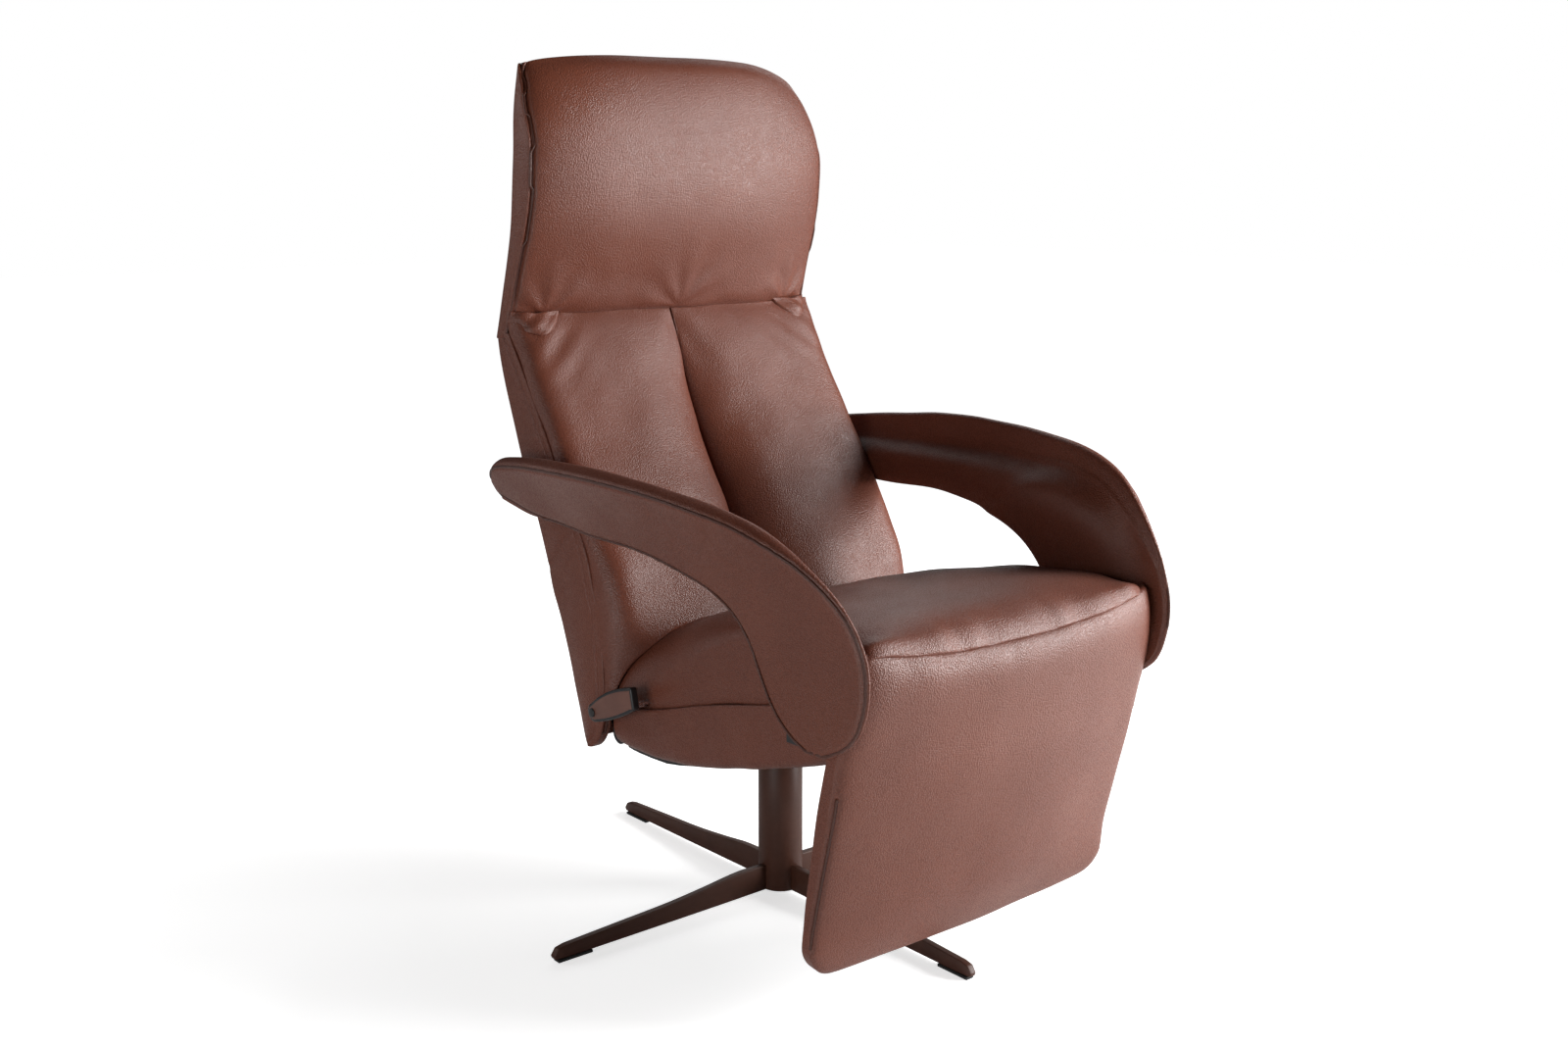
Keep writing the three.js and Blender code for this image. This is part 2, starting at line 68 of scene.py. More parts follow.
JOINTS = {joint["name"]: joint for joint in frame["joints"]}
SLOTS = {row["node"]: row["material_slot"] for row in frame["record"]["subparts"]}
MM = 0.001
AXIS_Y = JOINTS["seat_swivel"]["pos_m"][1]
RECLINE_Y = (JOINTS["back_recline"]["pos_m"][1] - AXIS_Y) / MM
RECLINE_Z = JOINTS["back_recline"]["pos_m"][2] / MM
SIDES = ((-1, "right"), (1, "left"))


# ------------------------------------------------------------------ shapes

def at(x, y, z):
    """Point in millimetres from the swivel axis, as metres in the frame."""
    return Vector((x * MM, y * MM + AXIS_Y, z * MM))


def mix(a, b, t):
    """Value a share t of the way from a to b."""
    return a + (b - a) * t


def mix2(p, q, t):
    """Point a share t of the way from p to q."""
    return (mix(p[0], q[0], t), mix(p[1], q[1], t))


def ramp(x, low, high):
    """Smooth step from 0 at low to 1 at high."""
    t = min(max((x - low) / (high - low), 0.0), 1.0)
    return t * t * (3 - 2 * t)


def shoulder(distance, radius):
    """Drop of a rounded edge: 1 at the edge, 0 from one radius inwards."""
    q = min(max(1 - distance / radius, 0.0), 1.0)
    return 1 - math.sqrt(1 - q * q)


def spline(points, t):
    """Catmull-Rom value at t, counted in whole steps between the points."""
    last = len(points) - 1
    i = min(int(t), last - 1)
    f = t - i
    p0, p1 = points[max(i - 1, 0)], points[i]
    p2, p3 = points[i + 1], points[min(i + 2, last)]
    out = []
    for a, b, c, d in zip(p0, p1, p2, p3):
        out.append(0.5 * (2 * b + (c - a) * f + (2 * a - 5 * b + 4 * c - d) * f * f
                          + (3 * b - a - 3 * c + d) * f ** 3))
    return tuple(out)


class Path:
    """Smooth path through points, read by share of its length or by height."""

    def __init__(self, *points):
        steps = 10
        count = (len(points) - 1) * steps
        self.fine = [spline(points, i / steps) for i in range(count + 1)]
        self.run = [0.0]
        for a, b in zip(self.fine, self.fine[1:]):
            self.run.append(self.run[-1] + math.dist(a, b))

    def along(self, share):
        """The point a share of the way along the path."""
        want = min(max(share, 0.0), 1.0) * self.run[-1]
        for i, run in enumerate(self.run[1:]):
            if run >= want:
                f = (want - self.run[i]) / max(run - self.run[i], 1e-9)
                return tuple(mix(a, b, f) for a, b in zip(self.fine[i], self.fine[i + 1]))
        return self.fine[-1]

    def level(self, value, key=1, give=0):
        """The other coordinate where the key coordinate passes a value."""
        fine = self.fine
        if fine[0][key] > fine[-1][key]:
            fine = fine[::-1]
        if value <= fine[0][key]:
            return fine[0][give]
        for a, b in zip(fine, fine[1:]):
            if b[key] >= value:
                f = (value - a[key]) / max(b[key] - a[key], 1e-9)
                return mix(a[give], b[give], min(max(f, 0.0), 1.0))
        return fine[-1][give]


def rows(length, near=(4, 13), step=34):
    """Shares of a length for mesh rows, set close together at both ends."""
    inner = length - 2 * near[-1]
    count = max(1, round(inner / step))
    marks = [0, *near[:-1]] + [near[-1] + inner * i / count for i in range(count + 1)]
    marks += [length - n for n in reversed((0, *near[:-1]))]
    return [m / length for m in marks]


def link(name, mesh):
    """Puts a mesh in the scene under its name."""
    obj = bpy.data.objects.new(name, mesh)
    bpy.context.scene.collection.objects.link(obj)
    return obj


def bake(obj):
    """Turns the live modifiers into plain mesh."""
    bpy.context.view_layer.update()
    graph = bpy.context.evaluated_depsgraph_get()
    mesh = bpy.data.meshes.new_from_object(obj.evaluated_get(graph), depsgraph=graph)
    obj.modifiers.clear()
    old = obj.data
    obj.data = mesh
    bpy.data.meshes.remove(old)
    mesh.name = obj.name
    for face in mesh.polygons:
        face.use_smooth = True
    return obj


def block(name, us, vs, ws, place):
    """Closed cage over a bent block; place(u, v, w) gives each point."""
    bm = bmesh.new()
    corner = {}

    def vert(i, j, k):
        if (i, j, k) not in corner:
            corner[i, j, k] = bm.verts.new(place(us[i], vs[j], ws[k]))
        return corner[i, j, k]

    nu, nv, nw = len(us) - 1, len(vs) - 1, len(ws) - 1
    for k in (0, nw):
        for i in range(nu):
            for j in range(nv):
                bm.faces.new((vert(i, j, k), vert(i + 1, j, k),
                              vert(i + 1, j + 1, k), vert(i, j + 1, k)))
    for j in (0, nv):
        for i in range(nu):
            for k in range(nw):
                bm.faces.new((vert(i, j, k), vert(i + 1, j, k),
                              vert(i + 1, j, k + 1), vert(i, j, k + 1)))
    for i in (0, nu):
        for j in range(nv):
            for k in range(nw):
                bm.faces.new((vert(i, j, k), vert(i, j + 1, k),
                              vert(i, j + 1, k + 1), vert(i, j, k + 1)))
    bmesh.ops.recalc_face_normals(bm, faces=bm.faces)
    mesh = bpy.data.meshes.new(name)
    bm.to_mesh(mesh)
    bm.free()
    return link(name, mesh)


def subdivide(obj, levels):
    """Rounds a cage with subdivision, and keeps the result as its mesh."""
    sub = obj.modifiers.new("Subdivision", "SUBSURF")
    sub.levels = levels
    sub.render_levels = levels
    return bake(obj)


def sculpt(obj, height):
    """Moves each vertex along its normal by height(x, y, z) in millimetres."""
    mesh = obj.data
    moves = [(v.co.copy(), v.normal.copy()) for v in mesh.vertices]
    for vert, (co, normal) in zip(mesh.vertices, moves):
        d = height(co.x / MM, (co.y - AXIS_Y) / MM, co.z / MM, normal)
        vert.co = co + normal * (d * MM)
    mesh.update()
    return obj


def upholster(name, us, vs, ws, place, levels=2, height=None):
    """One padded piece: cage, subdivision, then the creases."""
    obj = subdivide(block(name, us, vs, ws, place), levels)
    if height:
        sculpt(obj, height)
    return obj


def wander(x, y, z, size, seed=0.0):
    """Slow even unevenness of stuffed leather, about -1 to 1."""
    return noise.noise(Vector((x / size + seed, y / size, z / size)))


# --------------------------------------------------------------- materials

def socket(tree, name, kind, default=None, out=False):
    """Adds a named input or output to a node tree."""
    item = tree.interface.new_socket(
        name, in_out="OUTPUT" if out else "INPUT", socket_type="NodeSocket" + kind)
    if default is not None:
        item.default_value = default


class Wiring:
    """Short hand for adding and joining nodes in one tree."""

    def __init__(self, tree):
        self.tree = tree

    def add(self, kind, **values):
        """New node, with its properties set."""
        node = self.tree.nodes.new(kind)
        for key, value in values.items():
            setattr(node, key, value)
        return node

    def join(self, source, target):
        self.tree.links.new(source, target)

    def maths(self, operation, a, b=None, clamp=False):
        """One sum of sockets or numbers."""
        node = self.add("ShaderNodeMath", operation=operation, use_clamp=clamp)
        for i, value in enumerate((a, b)):
            if value is None:
                continue
            if isinstance(value, (int, float)):
                node.inputs[i].default_value = value
            else:
                self.join(value, node.inputs[i])
        return node.outputs[0]

    def spread(self, value, low, high, to_low=0.0, to_high=1.0):
        """Stretches the range low to high over another range, and stops there."""
        node = self.add("ShaderNodeMapRange", clamp=True)
        self.join(value, node.inputs["Value"])
        for key, number in zip(("From Min", "From Max", "To Min", "To Max"),
                               (low, high, to_low, to_high)):
            node.inputs[key].default_value = number
        return node.outputs["Result"]

    def noise(self, vector, scale, detail=2.0, rough=0.5):
        """Cloudy noise at a scale."""
        node = self.add("ShaderNodeTexNoise")
        self.join(vector, node.inputs["Vector"])
        if isinstance(scale, (int, float)):
            node.inputs["Scale"].default_value = scale
        else:
            self.join(scale, node.inputs["Scale"])
        node.inputs["Detail"].default_value = detail
        node.inputs["Roughness"].default_value = rough
        return node.outputs["Fac"]

    def tint(self, factor, a, b, blend="MIX"):
        """Mix of two colours."""
        node = self.add("ShaderNodeMix", data_type="RGBA", blend_type=blend)
        if isinstance(factor, (int, float)):
            node.inputs[0].default_value = factor
        else:
            self.join(factor, node.inputs[0])
        for i, value in ((6, a), (7, b)):
            if isinstance(value, (tuple, list)):
                node.inputs[i].default_value = (*value[:3], 1)
            else:
                self.join(value, node.inputs[i])
        return node.outputs[2]


def new_group(name):
    """Empty shader node group, with its wiring and its two ends."""
    tree = bpy.data.node_groups.new(name, "ShaderNodeTree")
    w = Wiring(tree)
    return tree, w, w.add("NodeGroupInput"), w.add("NodeGroupOutput")


def pebble_group():
    """Rounded pebbles of leather grain, with the valleys between them."""
    tree, w, _, _ = new_group("Pebble Grain")
    socket(tree, "Pebbles per Metre", "Float", 480.0)
    socket(tree, "Height", "Float", out=True)
    socket(tree, "Valleys", "Float", out=True)
    inp, out = tree.nodes[0], tree.nodes[1]
    place = w.add("ShaderNodeTexCoord").outputs["Object"]
    bend = w.add("ShaderNodeTexNoise")
    w.join(place, bend.inputs["Vector"])
    bend.inputs["Scale"].default_value = 260
    shift = w.add("ShaderNodeVectorMath", operation="MULTIPLY_ADD")
    w.join(bend.outputs["Color"], shift.inputs[0])
    shift.inputs[1].default_value = (0.0016, 0.0016, 0.0016)
    w.join(place, shift.inputs[2])
    cells = w.add("ShaderNodeTexVoronoi", feature="SMOOTH_F1")
    w.join(shift.outputs[0], cells.inputs["Vector"])
    w.join(inp.outputs[0], cells.inputs["Scale"])
    cells.inputs["Smoothness"].default_value = 0.35
    fine = w.noise(place, 1900.0, 3.0, 0.6)
    swell = w.noise(place, 55.0, 2.0, 0.5)
    dome = w.spread(cells.outputs["Distance"], 0.05, 0.75, 1.0, 0.0)
    amount = w.spread(swell, 0.3, 0.7, 0.75, 1.1)
    grain = w.maths("MULTIPLY", dome, amount)
    height = w.maths("MULTIPLY_ADD", fine, 0.22)
    w.join(grain, height.node.inputs[2])
    w.join(height, out.inputs["Height"])
    w.join(w.spread(dome, 0.1, 0.45, 1.0, 0.0), out.inputs["Valleys"])
    return tree


def mottle_group():
    """Slow drift of colour over a hide or a coating."""
    tree, w, _, _ = new_group("Mottle")
    socket(tree, "Color", "Color", (0.5, 0.5, 0.5, 1))
    socket(tree, "Other Color", "Color", (0.4, 0.4, 0.4, 1))
    socket(tree, "Scale", "Float", 9.0)
    socket(tree, "Color", "Color", out=True)
    socket(tree, "Drift", "Float", out=True)
    inp, out = tree.nodes[0], tree.nodes[1]
    place = w.add("ShaderNodeTexCoord").outputs["Object"]
    wide = w.noise(place, inp.outputs["Scale"], 3.0, 0.55)
    drift = w.spread(wide, 0.32, 0.68)
    w.join(w.tint(drift, inp.outputs["Color"], inp.outputs["Other Color"]),
           out.inputs["Color"])
    w.join(drift, out.inputs["Drift"])
    return tree


def painted_edge_light_group():
    """Mask of sharply curved raised edges, broken up by noise, where a highlight is painted."""
    tree, w, _, _ = new_group("Painted Edge Highlight")
    socket(tree, "Tightness", "Float", 0.56)
    socket(tree, "Mask", "Float", out=True)
    inp, out = tree.nodes[0], tree.nodes[1]
    bent = w.add("ShaderNodeNewGeometry").outputs["Pointiness"]
    place = w.add("ShaderNodeTexCoord").outputs["Object"]
    broken = w.noise(place, 140.0, 3.0, 0.6)
    over = w.maths("SUBTRACT", bent, inp.outputs["Tightness"])
    edge = w.maths("MULTIPLY", over, 9.0, clamp=True)
    w.join(w.maths("MULTIPLY", edge, broken), out.inputs["Mask"])
    return tree


GROUP_MAKERS = {"pebble": pebble_group, "mottle": mottle_group, "painted_edge_light": painted_edge_light_group}
GROUPS = {}


def use(w, name, **values):
    """Places a shared effect in a material with its own values."""
    if name not in GROUPS:
        GROUPS[name] = GROUP_MAKERS[name]()
    node = w.add("ShaderNodeGroup")
    node.node_tree = GROUPS[name]
    for key, value in values.items():
        target = node.inputs[key.replace("_", " ")]
        if isinstance(value, (int, float)):
            target.default_value = value
        else:
            target.default_value = (*value[:3], 1)
    return node


def new_finish(name):
    """Empty material with its Principled shader, ready to be wired."""
    material = bpy.data.materials.new(name)
    material.use_nodes = True
    w = Wiring(material.node_tree)
    shader = material.node_tree.nodes["Principled BSDF"]
    return material, w, shader


def bump(w, shader, height, depth):
    """Feeds a height, depth metres deep, to a shader's normal."""
    node = w.add("ShaderNodeBump")
    node.inputs["Distance"].default_value = depth
    w.join(height, node.inputs["Height"])
    w.join(node.outputs["Normal"], shader.inputs["Normal"])


def leather(name, colour, drift, pebbles, depth, gloss):
    """Pigmented hide with pebble grain, painted shade in the grain valleys and a painted highlight on raised
    edges.
    """
    material, w, shader = new_finish(name)
    grain = use(w, "pebble", Pebbles_per_Metre=pebbles)
    hide = use(w, "mottle", Color=colour, Other_Color=drift, Scale=6.5)
    painted_edge_light = use(w, "painted_edge_light", Tightness=0.53)
    # Painted shade: a darker copy of the hide colour, mixed in along the grain valleys.
    deep = w.tint(1.0, hide.outputs["Color"], (0.62, 0.55, 0.52), "MULTIPLY")
    valleys = w.maths("MULTIPLY", grain.outputs["Valleys"], 0.45)
    base = w.tint(valleys, hide.outputs["Color"], deep)
    # Painted highlight: a lighter copy of the hide colour, mixed in on sharply curved raised edges.
    light = w.tint(1.0, hide.outputs["Color"], (1.35, 1.3, 1.3), "MULTIPLY")
    edge_highlight_share = w.maths("MULTIPLY", painted_edge_light.outputs["Mask"], 0.6)
    w.join(w.tint(edge_highlight_share, base, light), shader.inputs["Base Color"])
    satin = w.spread(hide.outputs["Drift"], 0, 1, gloss - 0.03, gloss + 0.04)
    rough = w.maths("MULTIPLY_ADD", grain.outputs["Valleys"], 0.14)
    w.join(satin, rough.node.inputs[2])
    w.join(rough, shader.inputs["Roughness"])
    shader.inputs["Specular IOR Level"].default_value = 0.46
    shader.inputs["Sheen Weight"].default_value = 0.02
    shader.inputs["Sheen Roughness"].default_value = 0.45
    bump(w, shader, grain.outputs["Height"], depth)
    return material


def coated_metal(name, colour, metallic, gloss, speckle=0.00004):
    """Powder coat or brushed metal, with fine orange peel and a painted highlight on sharp corners."""
    material, w, shader = new_finish(name)
    # Painted highlight: a lighter copy of the coat colour, mixed in on sharply curved corners.
    edge_highlight_colour = tuple(min(1.0, c * 1.7 + 0.02) for c in colour)
    skin = use(w, "mottle", Color=colour, Other_Color=tuple(c * 0.82 for c in colour),
               Scale=26.0)
    painted_edge_light = use(w, "painted_edge_light", Tightness=0.54)
    w.join(w.tint(painted_edge_light.outputs["Mask"], skin.outputs["Color"], edge_highlight_colour),
           shader.inputs["Base Color"])
    shader.inputs["Metallic"].default_value = metallic
    shader.inputs["Specular IOR Level"].default_value = 0.5 if metallic else 0.3
    place = w.add("ShaderNodeTexCoord").outputs["Object"]
    peel = w.noise(place, 900.0, 2.0, 0.5)
    w.join(w.spread(peel, 0.3, 0.7, gloss - 0.05, gloss + 0.07),
           shader.inputs["Roughness"])
    bump(w, shader, peel, speckle)
    return material


def grained_board(name, colour, dark):
    """Raw beech ply with long grain streaks."""
    material, w, shader = new_finish(name)
    place = w.add("ShaderNodeTexCoord").outputs["Object"]
    stretch = w.add("ShaderNodeMapping")
    stretch.inputs["Scale"].default_value = (6, 60, 110)
    w.join(place, stretch.inputs["Vector"])
    streak = w.noise(stretch.outputs[0], 3.0, 4.0, 0.6)
    w.join(w.tint(w.spread(streak, 0.35, 0.65), colour, dark),
           shader.inputs["Base Color"])
    w.join(w.spread(streak, 0.3, 0.7, 0.55, 0.75), shader.inputs["Roughness"])
    bump(w, shader, streak, 0.0003)
    return material


def woven(name, colour, dark, threads):
    """Plain woven strap or liner: over-and-under threads."""
    material, w, shader = new_finish(name)
    place = w.add("ShaderNodeTexCoord").outputs["Object"]
    warp = w.add("ShaderNodeTexWave", bands_direction="X")
    weft = w.add("ShaderNodeTexWave", bands_direction="Y")
    for wave in (warp, weft):
        w.join(place, wave.inputs["Vector"])
        wave.inputs["Scale"].default_value = threads
        wave.inputs["Distortion"].default_value = 0.6
        wave.inputs["Detail"].default_value = 1.0
    cloth = w.maths("MAXIMUM", warp.outputs["Fac"], weft.outputs["Fac"])
    w.join(w.tint(cloth, dark, colour), shader.inputs["Base Color"])
    w.join(w.spread(cloth, 0, 1, 0.9, 0.72), shader.inputs["Roughness"])
    bump(w, shader, cloth, 0.0004)
    return material


def moulded(name, colour, gloss):
    """Fine-textured moulded plastic or rubber."""
    material, w, shader = new_finish(name)
    skin = use(w, "mottle", Color=colour, Other_Color=tuple(c * 0.8 for c in colour),
               Scale=30.0)
    w.join(skin.outputs["Color"], shader.inputs["Base Color"])
    place = w.add("ShaderNodeTexCoord").outputs["Object"]
    pits = w.noise(place, 1600.0, 3.0, 0.6)
    w.join(w.spread(pits, 0.3, 0.7, gloss - 0.06, gloss + 0.08),
           shader.inputs["Roughness"])
    bump(w, shader, pits, 0.00006)
    return material


FINISHES = {}


def finish(name):
    """The material called name, made once from the panel's colours."""
    if name in FINISHES:
        return FINISHES[name]
    hide = bpy.context.scene.recliner_leather
    metal = bpy.context.scene.recliner_metal
    brown = tuple(hide.colour)
    makers = {
        "leather": lambda: leather("Leather", brown, tuple(hide.drift),
                                   hide.pebbles, hide.grain_depth, hide.roughness),
        "piping": lambda: leather("Leather Piping", tuple(c * 0.5 for c in brown),
                                  tuple(c * 0.4 for c in brown),
                                  hide.pebbles * 1.3, hide.grain_depth * 0.5,
                                  hide.roughness),
        "liner": lambda: woven("Black Liner", (0.022, 0.020, 0.019),
                               (0.006, 0.005, 0.005), 420.0),
        "coated_steel": lambda: coated_metal("Brown Powder Coat", tuple(metal.coat),
                                             0.0, 0.46),
        "black_steel": lambda: coated_metal("Black Coated Steel",
                                            (0.016, 0.016, 0.017), 0.25, 0.42),
        "bright_steel": lambda: coated_metal("Bright Steel", (0.56, 0.56, 0.58),
                                             1.0, 0.24, 0.00002),
        "plywood": lambda: grained_board("Plywood", (0.52, 0.36, 0.20),
                                         (0.36, 0.22, 0.11)),
        "webbing": lambda: woven("Webbing", (0.10, 0.085, 0.07),
                                 (0.03, 0.025, 0.02), 300.0),
        "rubber": lambda: moulded("Rubber", (0.012, 0.012, 0.012), 0.72),
        "nylon": lambda: moulded("Nylon", (0.035, 0.034, 0.033), 0.5),
        "black_plastic": lambda: moulded("Black Plastic", (0.014, 0.014, 0.015), 0.36),
        "brown_plastic": lambda: moulded("Brown Plastic", tuple(metal.insert), 0.44),
    }
    FINISHES[name] = makers[name]()
    return FINISHES[name]


def dress(obj, name):
    """Gives an object one finish all over."""
    obj.data.materials.clear()
    obj.data.materials.append(finish(name))


# ------------------------------------------------------------------- seams

def surface_of(*objs):
    """Search tree over finished pieces, for laying seams on them."""
    verts, faces = [], []
    for obj in objs:
        start = len(verts)
        verts += [v.co.copy() for v in obj.data.vertices]
        faces += [tuple(start + i for i in p.vertices) for p in obj.data.polygons]
    return BVHTree.FromPolygons(verts, faces)


def lay(points, tree, sink=0.0):
    """Moves points to the nearest surface, sunk by sink metres."""
    out = []
    for p in points:
        hit, normal, _, _ = tree.find_nearest(p)
        out.append(hit - normal * sink)
    return out


def press(obj, paths, width, depth):
    """Sinks a narrow groove along each path, for a seam to lie in."""
    points = [p for path in paths for p in path]
    tree = KDTree(len(points))
    for i, p in enumerate(points):
        tree.insert(p, i)
    tree.balance()
    mesh = obj.data
    moves = [(v.co.copy(), v.normal.copy()) for v in mesh.vertices]
    for vert, (co, normal) in zip(mesh.vertices, moves):
        _, _, gap = tree.find(co)
        if gap < width * MM:
            share = 1 - (gap / (width * MM)) ** 2
            vert.co = co - normal * (depth * MM * share * share)
    mesh.update()


def finer(path, count=6):
    """More points along a path, for an even groove."""
    out = []
    for a, b in zip(path, path[1:]):
        out += [a.lerp(b, i / count) for i in range(count)]
    return out + [path[-1]]


def piping_tree():
    """Round cord laid along the edges of a path."""
    tree = bpy.data.node_groups.new("Piping", "GeometryNodeTree")
    for label, kind, default in (
            ("Geometry", "Geometry", None), ("Radius", "Float", 0.002),
            ("Spacing", "Float", 0.006), ("Sides", "Int", 8),
            ("Material", "Material", None)):
        socket(tree, label, kind, default)
    socket(tree, "Geometry", "Geometry", out=True)
    w = Wiring(tree)
    inp, out = w.add("NodeGroupInput"), w.add("NodeGroupOutput")
    curve = w.add("GeometryNodeMeshToCurve")
    even = w.add("GeometryNodeResampleCurve", mode="LENGTH")
    ring = w.add("GeometryNodeCurvePrimitiveCircle")
    tube = w.add("GeometryNodeCurveToMesh")
    tube.inputs["Fill Caps"].default_value = True
    shade = w.add("GeometryNodeSetShadeSmooth")
    real = w.add("GeometryNodeRealizeInstances")
    paint = w.add("GeometryNodeSetMaterial")
    w.join(inp.outputs["Geometry"], curve.inputs["Mesh"])
    w.join(curve.outputs[0], even.inputs["Curve"])
    w.join(inp.outputs["Spacing"], even.inputs["Length"])
    w.join(inp.outputs["Sides"], ring.inputs["Resolution"])
    w.join(inp.outputs["Radius"], ring.inputs["Radius"])
    w.join(even.outputs[0], tube.inputs["Curve"])
    w.join(ring.outputs[0], tube.inputs["Profile Curve"])
    w.join(tube.outputs[0], shade.inputs["Geometry"])
    w.join(shade.outputs[0], real.inputs[0])
    w.join(real.outputs[0], paint.inputs["Geometry"])
    w.join(inp.outputs["Material"], paint.inputs["Material"])
    w.join(paint.outputs[0], out.inputs[0])
    return tree


def piping(name, paths, tree, share=1.0, sink=0.0, closed=False):
    """Leather cord along each path, laid on the surface of a search tree."""
    bm = bmesh.new()
    for path in paths:
        verts = [bm.verts.new(p) for p in lay(path, tree, sink)]
        for a, b in zip(verts, verts[1:]):
            bm.edges.new((a, b))
        if closed:
            bm.edges.new((verts[-1], verts[0]))
    mesh = bpy.data.meshes.new(name)
    bm.to_mesh(mesh)
    bm.free()
    obj = link(name, mesh)
    nodes = bpy.data.node_groups.get("Piping") or piping_tree()
    modifier = obj.modifiers.new("Nodes", "NODES")
    modifier.node_group = nodes
    ids = {item.name: item.identifier for item in nodes.interface.items_tree
           if item.item_type == "SOCKET" and item.in_out == "INPUT"}
    radius = bpy.context.scene.recliner_cushions.piping * share
    modifier[ids["Radius"]] = radius
    modifier[ids["Material"]] = finish("piping")
    bake(obj)
    return obj


def settle(obj, look, body, *stands_for, fill=None, slot=None):
    """Dresses a piece, hides the frame parts it stands for, and hangs it on the body it rides on."""
    dress(obj, look)
    if stands_for:
        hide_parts(*stands_for)
    if body:
        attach(obj, body)


# ---------------------------------------------------------------- profiles
# All in millimetres, (y, z) from the swivel axis and the floor.

HEAD_FRONT = Path((238, 778), (224, 790), (204, 838), (182, 887), (169, 936),
                  (165, 993), (173, 1052), (190, 1096), (216, 1114))
HEAD_EDGE = Path((259, 748), (247, 794), (232, 838), (211, 887), (197, 936),
                 (192, 993), (200, 1030), (214, 1068), (230, 1099))
HEAD_REAR = Path((284, 748), (267, 815), (251, 874), (241, 936), (236, 1008),
                 (234, 1060), (236, 1099))
HEAD_HALF = Path((740, 253), (814, 249), (900, 245), (991, 243), (1040, 242),
                 (1075, 237), (1100, 230))
BACK_CREST = Path((-8, 400), (12, 446), (62, 524), (125, 610), (172, 683),
                  (204, 740), (222, 764), (238, 779))
BACK_GROOVE = Path((70, 400), (95, 460), (126, 532), (161, 589), (190, 640),
                   (211, 692), (224, 742), (240, 779))
BACK_SEAM = Path((48, 280), (48, 331), (53, 393), (68, 445), (89, 503), (157, 610),
                 (204, 683), (252, 760))
BACK_INNER = Path((86, 400), (102, 450), (132, 510), (178, 610), (216, 683),
                  (242, 740), (254, 779))
BACK_REAR = Path((88, 235), (95, 250), (110, 296), (128, 349), (151, 411), (171, 458),
                 (197, 520), (231, 595), (267, 688), (284, 757),
                  (274.5, 795))
SIDE_FRONT = Path((78, 236), (60, 252), (49, 290), (48, 331), (53, 393), (68, 445),
                  (89, 503), (157, 610), (204, 683), (254, 757))
SEAT_TOP = Path((86, 385), (72, 398), (45, 401), (14, 400), (-14, 406), (-45, 420),
                (-107, 445), (-214, 467), (-315, 478), (-372, 480), (-408, 473),
                (-427, 458), (-434, 446))
SEAT_SEAM = Path((88, 318), (29, 300), (-33, 309), (-131, 338), (-207, 358),
                 (-272, 373), (-378, 398))
BOX_BOTTOM = Path((50, 246), (-10, 242), (-69, 248), (-130, 258), (-261, 292),
                  (-384, 333))
FRONT_FACE = Path((-424, 446), (-434, 440), (-438, 424), (-436, 404),
                  (-429, 376), (-420, 340), (-411, 285), (-393, 212), (-374, 136),
                  (-361, 90), (-352, 71))
FRONT_BACK = Path((-384, 440), (-384, 404), (-384, 362), (-376, 320), (-362, 252),
                  (-350, 191), (-339, 129), (-330, 90), (-328, 73))
ARM_OUTER = Path((242, 572), (216, 590), (160, 599), (110, 603), (0, 607), (-110, 606),
                 (-203, 600), (-285, 588), (-355, 562), (-410, 520), (-437, 470),
                 (-441, 415), (-426, 370), (-388, 346))
ARM_INNER = Path((236, 548), (204, 540), (159, 530), (49, 520), (-55, 517), (-151, 502),
                 (-208, 480), (-240, 452), (-262, 415), (-283, 386), (-305, 366),
                 (-330, 352), (-356, 344))
SEAT_BOTTOM = Path((45, 226), (0, 226), (-56, 232), (-194, 268), (-352, 315))
CAMERA_PLACE = (-1.4254, -1.6835, 0.9663)
CAMERA_TURN = (78.47, 0, -39.76)
CAMERA_LENS = 39.73
LIGHT_TARGET = (0, 0, 0.55)


def rear_drop(x):
    """How far the seat's rear roll, and the back pads over it, fall at the sides."""
    return 96 * shoulder(243 - abs(x), 104)


def head_lean(s, z):
    """How far the head's sides stand to the right of its middle, at a height."""
    return mix(4.5, 6.0, ramp(s, -1, 1)) * ramp(z, mix(790, 850, ramp(s, -1, 1)), 960)


def head_sink(s, z):
    """How far the head's left top corner falls, at a share of its width and a height."""
    return 36 * shoulder((1 - max(s, 0)) * 240, 130) * ramp(z, 900, 1110)


def arm_flare(z):
    """Distance of an arm's outer face from the centre line at a height."""
    return 252 + (68 * ((z - 440) / 166) ** 2 if z > 440 else 8 * ((440 - z) / 96) ** 2)


# ------------------------------------------------------------------ pieces

